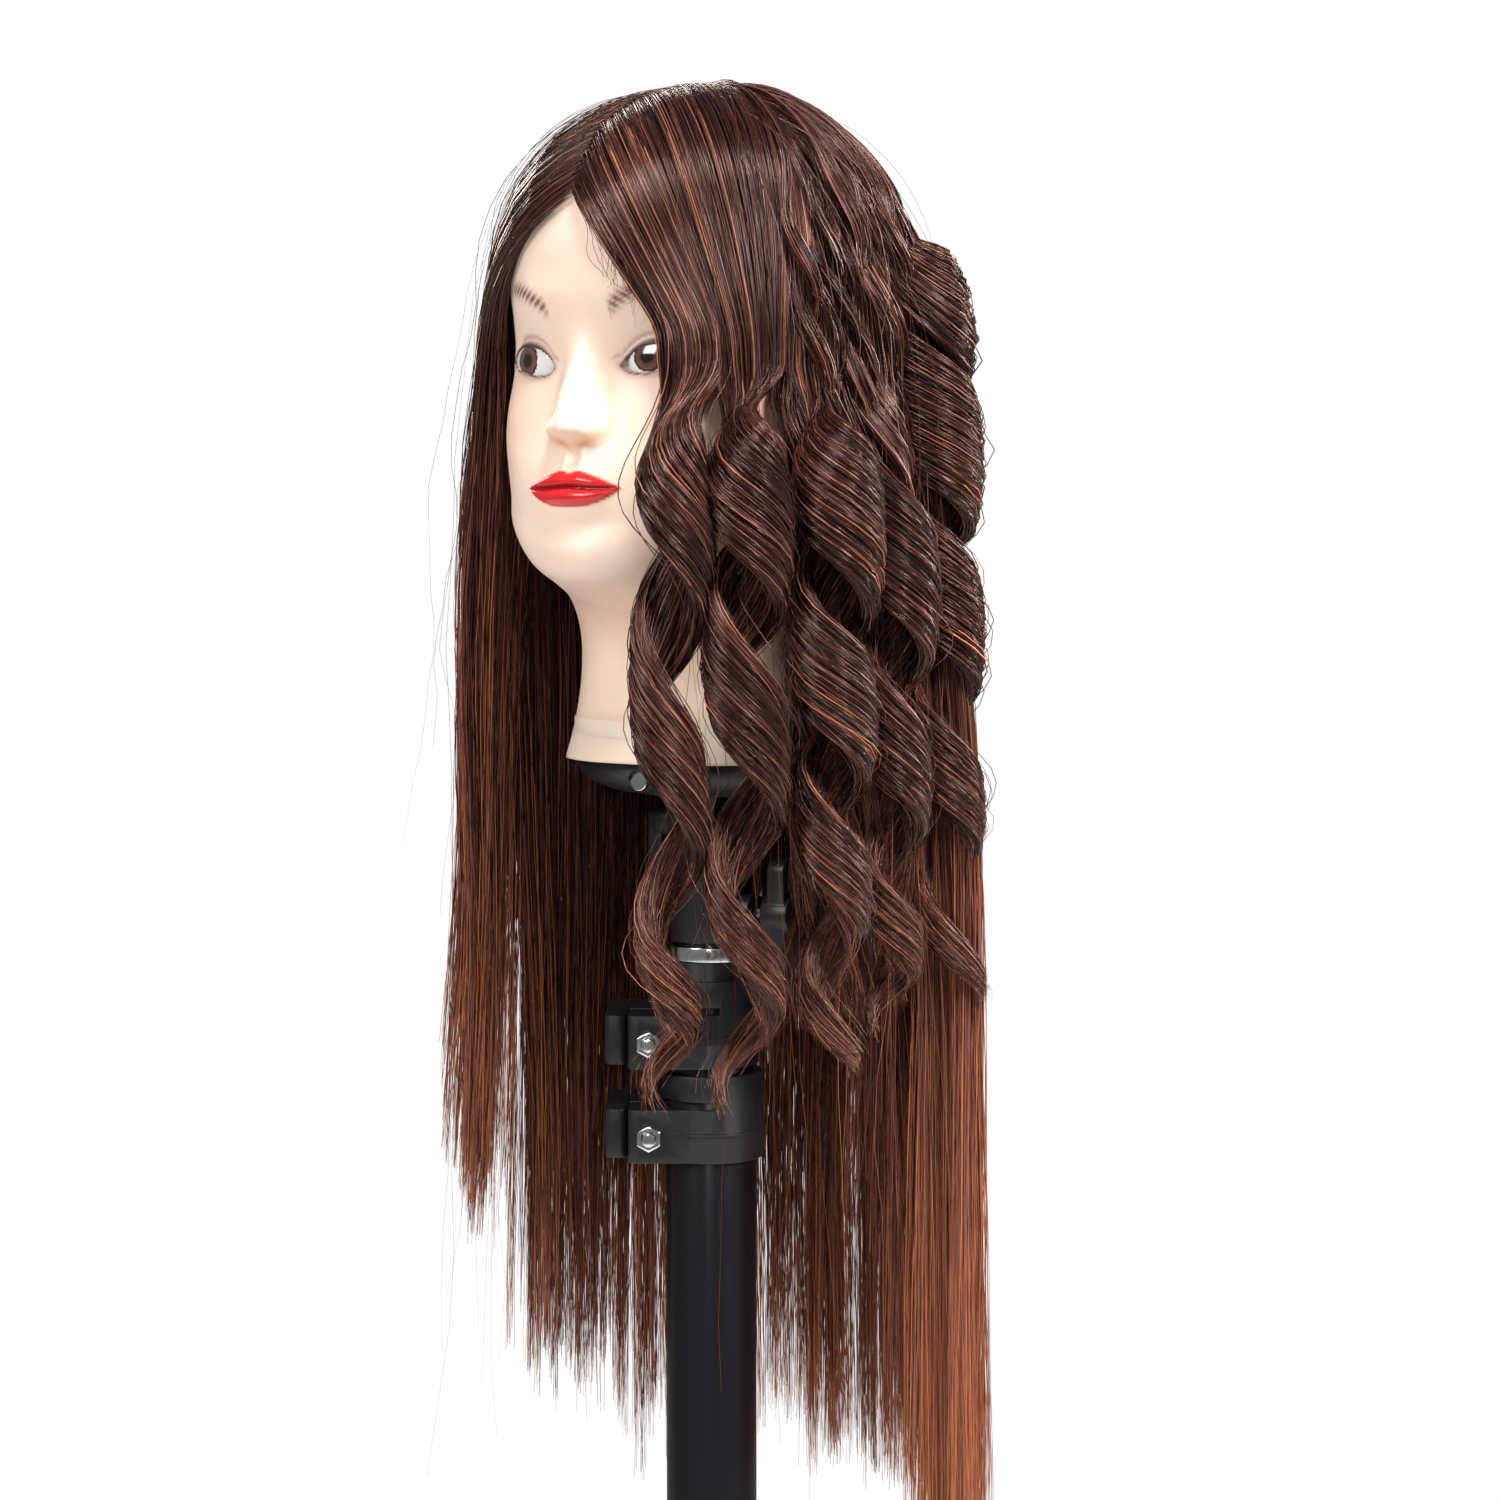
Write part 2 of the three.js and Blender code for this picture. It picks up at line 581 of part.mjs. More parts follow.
// The hub's three slots are open below and outwards; their sloping roofs stop the legs when open.
function makeBase() {
  const footEnd = footHeight / 2;
  const drop = hubHeight - footEnd;
  const run = legReach - hingeRadius;
  const slope = Math.atan2(drop, run);
  const legLength = Math.hypot(drop, run);
  const slotHalf = legWidth / 2 + runningGap;
  const roofAbove = hubHeight + (legDepth / 2 + 2 * seatGap) / Math.cos(slope);
  const roofAt = (r) => roofAbove - (r - hingeRadius) * Math.tan(slope);

  // Drawn along +X in the plane of the leg, upright, then turned into place.
  const upright = (shape, width, curveSegments = 6) =>
    solid(
      new THREE.ExtrudeGeometry(shape, { depth: width, bevelEnabled: false, curveSegments })
        .translate(0, 0, -width / 2)
        .rotateX(Math.PI / 2),
    );
  const slotInner = hingeRadius - legDepth / 2 - 2;
  const slotOuter = hubRadius + 20;
  const slotShape = new THREE.Shape(
    [[slotInner, roofAt(slotInner)], [slotOuter, roofAt(slotOuter)], [slotOuter, 0], [slotInner, 0]].map(
      ([x, z]) => new THREE.Vector2(x, z),
    ),
  );
  const slot = upright(slotShape, 2 * slotHalf);
  const pinLength = legWidth + 14;
  const pinPlace = [hingeRadius, hubHeight];
  const pinHole = rod(hingePinRadius + seatGap, "y", -pinLength / 2 - 4, pinLength / 2 + 4, pinPlace);
  const hubTop = hubHeight + hubDepth / 2 + 4;
  const hubBase = hubHeight - hubDepth / 2;
  const body = turned([
    [0, hubBase], [hubRadius - 2, hubBase], [hubRadius, hubBase + 2], [hubRadius, hubTop - 8],
    [hubRadius - 12, hubTop], [poleRadius + 5, hubTop + 8], [0, hubTop + 8],
  ], 36);
  const bore = disc(poleRadius + seatGap, 0, hubTop + 20);
  const angles = [-90, 30, 150];
  const around = angles.map((degrees) => [slot.rotate([0, 0, degrees]), pinHole.rotate([0, 0, degrees])]);
  add("leg_hub", cut(body, bore, ...around.flat()), blackPlastic);

  const bar = new THREE.Shape();
  bar.absarc(0, 0, legDepth / 2, Math.PI / 2, 1.5 * Math.PI);
  bar.absarc(legLength, 0, legEndRadius, 1.5 * Math.PI, 2.5 * Math.PI);
  const barHole = rod(hingePinRadius + seatGap, "y", -legWidth, legWidth, [0, 0]);
  const hollow = block(20, legLength + 20, legWall - legWidth / 2, legWidth / 2 - legWall, -6, 6);
  const legBar = cut(upright(bar, legWidth), barHole, hollow)
    .rotate([0, (slope * 180) / Math.PI, 0])
    .translate([hingeRadius, 0, hubHeight]);
  const pocket = upright(bar, legWidth + 2 * seatGap)
    .scale([1, 1, 1.05])
    .translate([seatGap, 0, 0])
    .rotate([0, (slope * 180) / Math.PI, 0])
    .translate([hingeRadius, 0, hubHeight]);
  const footShape = turned([
    [0, 0], [footRadius - 1.5, 0], [footRadius, 1.5], [footRadius, footHeight - 2],
    [footRadius - 2, footHeight], [0, footHeight],
  ], 20);
  const foot = cut(footShape.translate([legReach, 0, 0]), pocket);
  const pin = rod(hingePinRadius, "y", -pinLength / 2, pinLength / 2, pinPlace);
  angles.forEach((degrees, i) => {
    const place = new THREE.Group();
    place.rotation.z = THREE.MathUtils.degToRad(degrees);
    root.add(place);
    add(`leg_${i + 1}`, legBar, blackTube, place);
    add(`foot_${i + 1}`, foot, rubber, place);
    add(`leg_pin_${i + 1}`, pin, chrome, place);
  });
}

makeHead();
makeHair();
makePlug();
makeFork();
makeClamp("lower", lowerCollarBase, poleTop, poleRadius, middleRadius, 0);
makeClamp("upper", upperCollarBase, middleTop, middleRadius, upperRadius, upperNeckHeight);
makePost();
makeBase();

export default root;
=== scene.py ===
import json
import math

import bmesh
import bpy
import numpy as np
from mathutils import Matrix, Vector
from mathutils.bvhtree import BVHTree


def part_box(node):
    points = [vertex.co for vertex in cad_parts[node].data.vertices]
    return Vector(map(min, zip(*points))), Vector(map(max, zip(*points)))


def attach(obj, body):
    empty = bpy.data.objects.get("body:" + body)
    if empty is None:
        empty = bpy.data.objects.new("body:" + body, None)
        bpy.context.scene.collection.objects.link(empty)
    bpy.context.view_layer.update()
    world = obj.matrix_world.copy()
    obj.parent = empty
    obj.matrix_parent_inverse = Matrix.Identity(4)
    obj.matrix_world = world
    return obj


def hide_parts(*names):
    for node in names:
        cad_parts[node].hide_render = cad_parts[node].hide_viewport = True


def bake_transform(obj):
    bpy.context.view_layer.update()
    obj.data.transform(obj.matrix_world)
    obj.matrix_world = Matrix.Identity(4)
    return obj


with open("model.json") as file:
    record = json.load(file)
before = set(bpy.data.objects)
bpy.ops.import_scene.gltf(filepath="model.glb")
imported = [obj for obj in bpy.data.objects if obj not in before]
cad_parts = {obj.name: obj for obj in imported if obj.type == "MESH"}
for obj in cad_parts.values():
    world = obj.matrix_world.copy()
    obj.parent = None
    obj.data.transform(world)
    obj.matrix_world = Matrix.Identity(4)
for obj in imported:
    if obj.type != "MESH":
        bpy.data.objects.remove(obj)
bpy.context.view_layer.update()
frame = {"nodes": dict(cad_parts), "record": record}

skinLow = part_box("vinyl_skin")[0]
neckZ = skinLow.z  # the head and hair are set out in millimetres above the neck's cut face
mm = 0.001


class Wire:  # one output socket, with sums written as Python expressions
    def __init__(self, tree, socket=None):
        self.tree = tree
        self.socket = socket

    def node(self, kind, settings, inputs, output=0):
        made = self.tree.nodes.new(kind)
        stops = settings.pop("stops", None)
        for key, value in settings.items():
            setattr(made, key, value)
        if stops:
            ramp = made.color_ramp
            while len(ramp.elements) < len(stops):
                ramp.elements.new(0.5)
            for element, (place, colour) in zip(ramp.elements, stops):
                element.position = place
                element.color = colour
        for key, value in inputs.items():
            if isinstance(value, Wire):
                self.tree.links.new(value.socket, made.inputs[key])
            else:
                made.inputs[key].default_value = value
        return Wire(self.tree, made.outputs[output])

    def calc(self, operation, first, second):
        return self.node("ShaderNodeMath", {"operation": operation}, {0: first, 1: second})

    def __add__(self, other):
        return self.calc("ADD", self, other)

    def __radd__(self, other):
        return self.calc("ADD", other, self)

    def __sub__(self, other):
        return self.calc("SUBTRACT", self, other)

    def __rsub__(self, other):
        return self.calc("SUBTRACT", other, self)

    def __mul__(self, other):
        return self.calc("MULTIPLY", self, other)

    def __rmul__(self, other):
        return self.calc("MULTIPLY", other, self)

    def attribute(self, name):
        return self.node("ShaderNodeAttribute", {"attribute_name": name}, {}, 2)

    def place(self):
        return self.node("ShaderNodeTexCoord", {}, {}, 3)

    def noise(self, scale, detail=3.0, stretch=(1.0, 1.0, 1.0)):
        where = self.node("ShaderNodeMapping", {}, {"Vector": self.place(), "Scale": stretch})
        return self.node("ShaderNodeTexNoise", {}, {"Vector": where, "Scale": scale, "Detail": detail})

    def blend(self, share, first, second):
        return self.node("ShaderNodeMix", {"data_type": "RGBA"}, {0: share, 6: first, 7: second}, 2)

    def ramp(self, value, stops):
        return self.node("ShaderNodeValToRGB", {"stops": stops}, {0: value})

    def bump(self, height, distance, strength=1.0):
        inputs = {"Height": height, "Distance": distance, "Strength": strength}
        return self.node("ShaderNodeBump", {}, inputs)


def surface(name, paint, **fixed):
    made = bpy.data.materials.new(name)
    made.use_nodes = True
    tree = made.node_tree
    shader = tree.nodes["Principled BSDF"]
    for key, value in fixed.items():
        shader.inputs[key.replace("_", " ")].default_value = value
    for key, value in paint(Wire(tree)).items():
        tree.links.new(value.socket, shader.inputs[key])
    return made


def rgb(red, green, blue):
    return (red, green, blue, 1.0)


def placed(name, data):
    thing = bpy.data.objects.new(name, data)
    bpy.context.scene.collection.objects.link(thing)
    return thing


def standing(points):
    # from millimetres above the neck's cut face to metres above the floor
    return points * mm + np.array([0.0, 0.0, neckZ])


def wrapped(rows, columns):
    # the numbering of a grid of points that closes on itself sideways, and its four-sided faces
    grid = np.arange(rows * columns).reshape(rows, columns)
    after = np.roll(grid, -1, 1)
    return grid, np.stack([grid[:-1], after[:-1], after[1:], grid[1:]], 2).reshape(-1, 4)


def meshPiece(name, points, faces, material):
    mesh = bpy.data.meshes.new(name)
    points = np.asarray(points, np.float32).reshape(-1, 3)
    faces = np.asarray(faces, np.int32)
    count, corners = faces.shape
    mesh.vertices.add(len(points))
    mesh.vertices.foreach_set("co", points.ravel())
    mesh.loops.add(count * corners)
    mesh.loops.foreach_set("vertex_index", faces.ravel())
    mesh.polygons.add(count)
    mesh.polygons.foreach_set("loop_start", np.arange(0, count * corners, corners, dtype=np.int32))
    mesh.update(calc_edges=True)
    mesh.polygons.foreach_set("use_smooth", np.ones(count, bool))
    mesh.materials.append(material)
    return placed(name, mesh)


def paintPoints(piece, name, values):
    layer = piece.data.attributes.new(name, "FLOAT", "POINT")
    layer.data.foreach_set("value", np.asarray(values, np.float32).ravel())


def ease(value, low, high):
    t = np.clip((value - low) / (high - low), 0.0, 1.0)
    return t * t * (3.0 - 2.0 * t)


def hump(value, centre, width):
    return np.exp(-(((value - centre) / width) ** 2))


def between(pair, share):
    return pair[0] + (pair[1] - pair[0]) * share


def direction(azimuth, rise):
    # outwards from the post, in degrees; azimuth 0 is the front
    turn = math.radians(azimuth)
    up = math.radians(rise)
    return Vector((math.sin(turn) * math.cos(up), -math.cos(turn) * math.cos(up), math.sin(up)))


def aimed(name, data, middle, away, distance):
    thing = placed(name, data)
    thing.location = middle + away * distance
    thing.rotation_mode = "QUATERNION"
    thing.rotation_quaternion = (-away).to_track_quat("-Z", "Y")
    return thing


view = {
    "azimuth": 33.0, "rise": 4.2, "distance": 1.4, "lens": 74.9, "sensor": 36.0,
    "aside": 17.5 * mm, "height": neckZ + 2 * mm,  # what it looks at
}


def placeCamera():
    turn = math.radians(view["azimuth"])
    right = Vector((math.cos(turn), math.sin(turn), 0.0))
    target = right * view["aside"] + Vector((0.0, 0.0, view["height"]))
    data = bpy.data.cameras.new("mainCamera")
    data.lens = view["lens"]
    data.sensor_width = view["sensor"]
    back = direction(view["azimuth"], view["rise"])
    bpy.context.scene.camera = aimed("mainCamera", data, target, back, view["distance"])


studio = {
    "sky": 0.19,
    "middle": neckZ + 60 * mm,  # where every lamp points
    "floor": (96, 1.5, 0.5 * mm),  # sides, radius, and how far it lies under the feet
    "lamps": [  # azimuth, rise, distance, width, height, power, colour
        ("keyLight", -14.0, 30.0, 2.2, 0.8, 1.0, 31.0, (1.0, 0.98, 0.96)),
        ("fillLight", 82.0, 26.0, 2.2, 0.4, 0.7, 48.0, (1.0, 0.97, 0.95)),
        ("topLight", 50.0, 62.0, 2.0, 0.5, 0.5, 30.0, (1.0, 0.98, 0.97)),
        ("frontLight", 27.0, 12.0, 2.4, 0.3, 0.3, 5.0, (1.0, 1.0, 1.0)),
        ("rimRight", 150.0, 20.0, 2.2, 0.5, 1.4, 44.0, (1.0, 0.93, 0.86)),
        ("rimLeft", -115.0, 15.0, 2.2, 0.5, 1.4, 38.0, (1.0, 0.93, 0.86)),
    ],
}


def buildStudio():
    world = bpy.data.worlds.new("studio")
    world.use_nodes = True
    bpy.context.scene.world = world
    tree = world.node_tree
    wire = Wire(tree)
    seen = wire.node("ShaderNodeLightPath", {}, {}, 0)
    tree.nodes["Background"].inputs["Color"].default_value = rgb(1.0, 1.0, 1.0)
    strength = seen * (1.0 - studio["sky"]) + studio["sky"]
    tree.links.new(strength.socket, tree.nodes["Background"].inputs["Strength"])
    middle = Vector((0.0, 0.0, studio["middle"]))
    for name, azimuth, rise, distance, width, height, power, colour in studio["lamps"]:
        data = bpy.data.lights.new(name, "AREA")
        data.shape = "RECTANGLE"
        data.size = width
        data.size_y = height
        data.energy = power
        data.color = colour
        aimed(name, data, middle, direction(azimuth, rise), distance)
    bpy.context.scene.view_settings.view_transform = "Standard"

    def paintFloor(wire):
        grain = wire.noise(4.0)
        return {"Base Color": wire.ramp(grain, [(0.3, rgb(0.86, 0.86, 0.86)), (0.7, rgb(0.9, 0.9, 0.9))])}

    sides, radius, under = studio["floor"]
    steps = np.linspace(0.0, 2.0 * math.pi, sides, endpoint=False)
    rim = np.stack([radius * np.cos(steps), radius * np.sin(steps), np.full(sides, -under)], 1)
    points = np.vstack([rim, [[0.0, 0.0, -under]]])
    faces = [(k, (k + 1) % sides, sides) for k in range(sides)]
    meshPiece("floor", points, faces, surface("paleFloor", paintFloor, Roughness=0.9))


placeCamera()
buildStudio()
print("camera, floor and lights are in place")


head = {
    "columns": 360, "rows": 270,
    "roundness": 2.3,  # of the face in plan, 2 is an ellipse
    "crowding": (0.42, 0.58),  # share of the columns spread evenly, and drawn towards the face
    "rowPlaces": ([0.0, 0.1, 0.22, 0.86, 1.0], [0.0, 0.2, 0.28, 0.78, 1.0]),  # share of rows, of the rings
    "rowSmoothing": 6,
    "neckHalf": (60.0, 56.0), "wall": 3.5, "innerWall": 18.0,  # at the neck's cut face
}

eyes = {
    "rows": 48, "columns": 96, "half": (16.2, 12.0, 9.0),
    "aside": 31.5, "height": 172.0, "front": 81.5, "turn": 14.0,
    "openHalf": 13.8, "openUp": 6.2, "openDown": 5.2,
    "irisAside": -2.6, "irisUp": 0.6, "irisRadius": 6.3, "paintReach": 20.0, "paintDepth": 4.0,
}

lids = {
    "reach": 5.5, "over": 1.0,  # how far the lid spreads, and how far it stands off the eye
    "ball": 1.15, "cover": 0.6,  # the same over the ball itself
    "creaseAway": 4.2, "creaseWide": 1.1, "creaseDeep": 0.8, "creaseFrom": 2.0,
    "behind": 2.6,  # in the opening the vinyl lies this far behind the eye
}

lips = {
    "half": 24.0, "height": 118.2, "upper": 7.6, "bow": 1.7, "lower": 8.4,
    "upperOut": 2.3, "lowerOut": 3.0, "seamIn": 1.6, "seamWide": 0.9,
}

brows = {"inner": 15.0, "long": 36.0, "height": 192.5, "arch": 10.0, "bend": 2.3, "half": 3.2}

faceBumps = {
    # how far out, how far aside, half its width, its height, and half its height above and below that
    "noseTip": (15.5, 0.0, 8.6, 143.5, 21.0, 6.2),
    "noseBridge": (5.0, 0.0, 8.5, 164.0, 15.0, 15.0),
    "noseWings": (6.8, 9.6, 4.4, 142.6, 6.4, 4.6),
    "nostrils": (-1.8, 5.6, 2.7, 137.3, 2.2, 2.2),
    "wingFolds": (-0.7, 16.0, 3.0, 141.5, 6.0, 6.0),
    "lipGroove": (-0.9, 0.0, 2.6, 130.5, 4.2, 4.2),
    "grooveEdges": (0.5, 4.2, 1.8, 130.0, 4.0, 4.0),
    "browRidges": (2.4, 24.0, 20.0, 198.0, 9.0, 9.0),
    "cheeks": (3.4, 44.0, 18.0, 150.0, 18.0, 18.0),
    "chin": (3.0, 0.0, 16.0, 88.0, 9.0, 9.0),
    "chinFold": (-1.4, 0.0, 14.0, 104.0, 3.4, 3.4),
    "eyeSockets": (-4.6, 33.0, 17.0, 174.0, 12.0, 12.0),
    "mouth": (4.0, 0.0, 26.0, 118.0, 13.0, 13.0),
}

headRings = np.array([
    # front reach and height, back reach and height, half width and height at the side
    [66, 0, 46, 0, 60, 0],
    [60, 16, 48, 18, 57, 17],
    [57, 34, 50, 42, 54.5, 38],
    [58, 51, 54, 66, 54.5, 59],
    [66, 64, 58, 86, 57, 77],
    [82, 72, 64, 103, 60, 92],
    [98, 80, 71, 118, 65, 105],
    [104, 91, 77, 131, 70, 118],
    [104, 102, 82, 144, 71, 130],
    [104, 114, 86, 156, 72.5, 141],
    [103, 125, 89, 167, 73.5, 152],
    [100, 137, 91, 178, 74, 163],
    [97, 152, 92, 189, 74, 175],
    [96, 168, 92, 200, 74, 187],
    [98, 184, 91.5, 211, 73.6, 200],
    [102, 202, 89.5, 223, 73, 214],
    [103, 222, 85, 237, 71, 230],
    [99, 241, 77, 252, 66.5, 247],
    [87, 260, 64, 267, 56, 264],
    [66, 276, 46, 279, 41, 278],
    [37, 287, 25, 288, 22, 287.5],
    [0, 292, 0, 292, 0, 292],
])


def ringValues(t):
    last = len(headRings) - 1
    place = np.minimum(t * last, last - 1e-9)
    i = np.floor(place).astype(int)
    u = (place - i)[:, None]
    a = headRings[np.maximum(i - 1, 0)]
    b = headRings[i]
    c = headRings[i + 1]
    d = headRings[np.minimum(i + 2, last)]
    return b + 0.5 * u * (c - a + u * (2 * a - 5 * b + 4 * c - d + u * (3 * (b - c) + d - a)))


def eyeDepth(x, z):
    # how far forward the eye's glossy surface is, for a place on the left half of the face
    turn = math.radians(eyes["turn"])
    half, tall, deep = eyes["half"]
    across = (x - eyes["aside"]) / half
    up = (z - eyes["height"]) / tall
    curve = deep * np.sqrt(np.clip(1.0 - across**2 - up**2, 0.02, 1.0))
    return eyes["front"] + curve - math.tan(turn) * (x - eyes["aside"])


def eyeEdges(x):
    # height of the upper and lower lid's edge above the eye's middle
    across = np.clip((x - eyes["aside"]) / eyes["openHalf"], -1.0, 1.0)
    tilt = 2.0 * across - 0.8 * hump(across, -1.0, 0.35)
    upper = eyes["openUp"] * np.power(1.0 - np.abs(across) ** 2.2, 0.85)
    lower = -eyes["openDown"] * np.power(1.0 - np.abs(across) ** 3.0, 0.9)
    return upper + tilt, lower + tilt


def eyeDistance(x, z):
    # outside the lids' opening this is positive, in millimetres
    upper, lower = eyeEdges(x)
    rise = z - eyes["height"]
    inside = np.maximum(rise - upper, lower - rise)
    past = np.maximum(np.abs(x - eyes["aside"]) - eyes["openHalf"], 0.0)
    return np.where(past > 0, np.hypot(past, np.maximum(inside, 0.0)), inside)


def lipEdges(x):
    share = np.clip(np.abs(x) / lips["half"], 0.0, 1.0)
    line = lips["height"] + 0.5 * np.cos(x / 5.5) * (1.0 - share)
    upper = line + lips["upper"] * (1.0 - share**1.7) - lips["bow"] * hump(x, 0.0, 3.0)
    lower = line - lips["lower"] * np.power(1.0 - share**2.0, 0.85)
    return upper, line, lower


def faceRelief(x, z):
    side = np.abs(x)
    relief = np.zeros_like(z)
    for out, aside, wide, height, above, below in faceBumps.values():
        relief += out * hump(side, aside, wide) * hump(z, height, np.where(z > height, above, below))
    upper, line, lower = lipEdges(x)
    fade = np.clip(1.0 - (side / (lips["half"] + 2.0)) ** 3, 0.0, 1.0)
    swellUp = np.clip((z - line) / np.maximum(upper - line, 0.6), 0.0, 1.0)
    swellDown = np.clip((line - z) / np.maximum(line - lower, 0.6), 0.0, 1.0)
    relief += fade * lips["upperOut"] * np.clip(np.sin(np.pi * swellUp), 0, 1) ** 0.8
    relief += fade * lips["lowerOut"] * np.clip(np.sin(np.pi * swellDown), 0, 1) ** 0.8
    relief -= fade * lips["seamIn"] * hump(z, line, lips["seamWide"])
    return relief


def headSurface(turn, t):
    rings = ringValues(t)
    front, frontZ, back, backZ, half, sideZ = [rings[:, k][:, None] for k in range(6)]
    c = np.cos(turn)[None, :]
    s = np.sin(turn)[None, :]
    forward = c > 0
    power = head["roundness"]
    plan = np.where(forward, np.power(1.0 - np.abs(s) ** power, 1.0 / power), np.abs(c))
    reach = np.where(forward, front, back)
    z = sideZ + (np.where(forward, frontZ, backZ) - sideZ) * c**2
    x = half * s + 0.0 * z
    onFace = np.clip(2.0 * c, 0.0, 1.0) * forward
    depth = reach * plan + faceRelief(x, z) * onFace
    side = np.abs(x)
    apart = eyeDistance(side, z)
    eye = eyeDepth(side, z)
    lid = np.exp(-((np.maximum(apart, 0.0) / lids["reach"]) ** 2)) * onFace
    depth = depth + (np.maximum(eye + lids["over"], depth) - depth) * lid
    across = (side - eyes["aside"]) / eyes["half"][0]
    up = (z - eyes["height"]) / eyes["half"][1]
    overEye = (across**2 + up**2 < lids["ball"]) & (apart > 0.0)
    depth = np.where(overEye, np.maximum(depth, eye + lids["cover"]), depth)
    crease = lids["creaseDeep"] * hump(apart, lids["creaseAway"], lids["creaseWide"])
    depth = depth - crease * (z > eyes["height"] + lids["creaseFrom"]) * onFace
    depth = depth + (eye - lids["behind"] - depth) * ease(-apart, -0.1, 0.55) * onFace
    y = np.where(forward, -depth, reach * plan)
    return np.stack([x, y, z], 2), apart


def paintedFace(points, apart):
    # masks for the paint on the vinyl, painted shade among them, each 0 to 1
    x = points[..., 0]
    z = points[..., 2]
    onFace = (points[..., 1] < -55.0).astype(float)
    side = np.abs(x)
    upper, line, lower = lipEdges(x)
    within = np.minimum(upper - z, z - lower)
    within = np.minimum(within, (lips["half"] - side) * 0.45)
    lip = ease(within, -0.25, 0.25) * onFace
    seam = lip * hump(z, line, 0.7)
    rise = z - eyes["height"]
    top = ease(rise, -1.5, 1.0)
    outward = ease(side, 20.0, 44.0)
    liner = hump(apart, 0.6, 0.55 + 0.95 * top + 0.5 * outward * top)
    fold = hump(apart, 4.4, 0.8) * top + 0.6 * hump(apart, 1.6, 1.6)
    along = (side - brows["inner"]) / brows["long"]
    arch = brows["height"] + brows["arch"] * np.sin(np.clip(along, 0.0, 1.0) * brows["bend"])
    strokes = 0.6 + 0.4 * np.sin((side * 1.1 + (z - arch) * 0.9) * 2.0)
    ends = ease(along, -0.02, 0.08) * ease(1.0 - along, 0.0, 0.4)
    brow = 1.3 * hump(z, arch, brows["half"]) * ends * strokes
    blush = hump(side, 40.0, 15.0) * hump(z, 147.0, 15.0)
    # painted shade under the nose and beside its wings, where the nose shadows the skin
    under = 135.6 + 0.035 * side**2
    shadow = hump(side, 5.0, 4.0) * hump(z, under, 1.8)
    shadow += 0.45 * hump(side, 12.0, 3.4) * hump(z, under - 1.0, 2.6)
    shadow += 0.3 * hump(side, 15.0, 2.0) * hump(z, 143.0, 5.0)
    return {
        "lip": lip,
        "seam": seam,
        "liner": np.clip(liner, 0, 1) * onFace,
        "fold": np.clip(fold, 0, 1) * onFace,
        "brow": np.clip(brow, 0, 1) * onFace,
        "blush": blush * onFace,
        "noseShadow": shadow * onFace,
        "warmShade": np.clip(ease(side, 48.0, 70.0) + 0.35 * hump(z, 62.0, 14.0), 0, 1),  # painted warm shade on the sides and the throat, where hair and chin shade the skin
    }


def paintSkin(wire):
    mottle = wire.noise(38.0, 4.0)
    base = wire.ramp(mottle, [(0.3, rgb(0.88, 0.67, 0.53)), (0.7, rgb(0.91, 0.73, 0.6))])
    # painted warm shade on the sides of the head and neck and on the throat
    base = wire.blend(wire.attribute("warmShade") * 0.75, base, rgb(0.95, 0.46, 0.31))
    base = wire.blend(wire.attribute("blush") * 0.35, base, rgb(0.88, 0.47, 0.32))
    # painted orange shade under the nose and beside its wings
    base = wire.blend(wire.attribute("noseShadow") * 0.7, base, rgb(0.8, 0.34, 0.12))
    base = wire.blend(wire.attribute("brow") * 0.95, base, rgb(0.15, 0.04, 0.025))
    base = wire.blend(wire.attribute("fold") * 0.5, base, rgb(0.36, 0.13, 0.1))
    base = wire.blend(wire.attribute("liner"), base, rgb(0.03, 0.01, 0.009))
    red = wire.blend(wire.attribute("seam") * 0.75, rgb(0.62, 0.022, 0.026), rgb(0.25, 0.004, 0.006))
    colour = wire.blend(wire.attribute("lip"), base, red)
    rough = 0.42 - wire.attribute("lip") * 0.28 + (mottle - 0.5) * 0.08
    pores = wire.bump(wire.noise(900.0, 2.0), 0.05 * mm, 0.35)
    return {"Base Color": colour, "Roughness": rough, "Normal": pores}


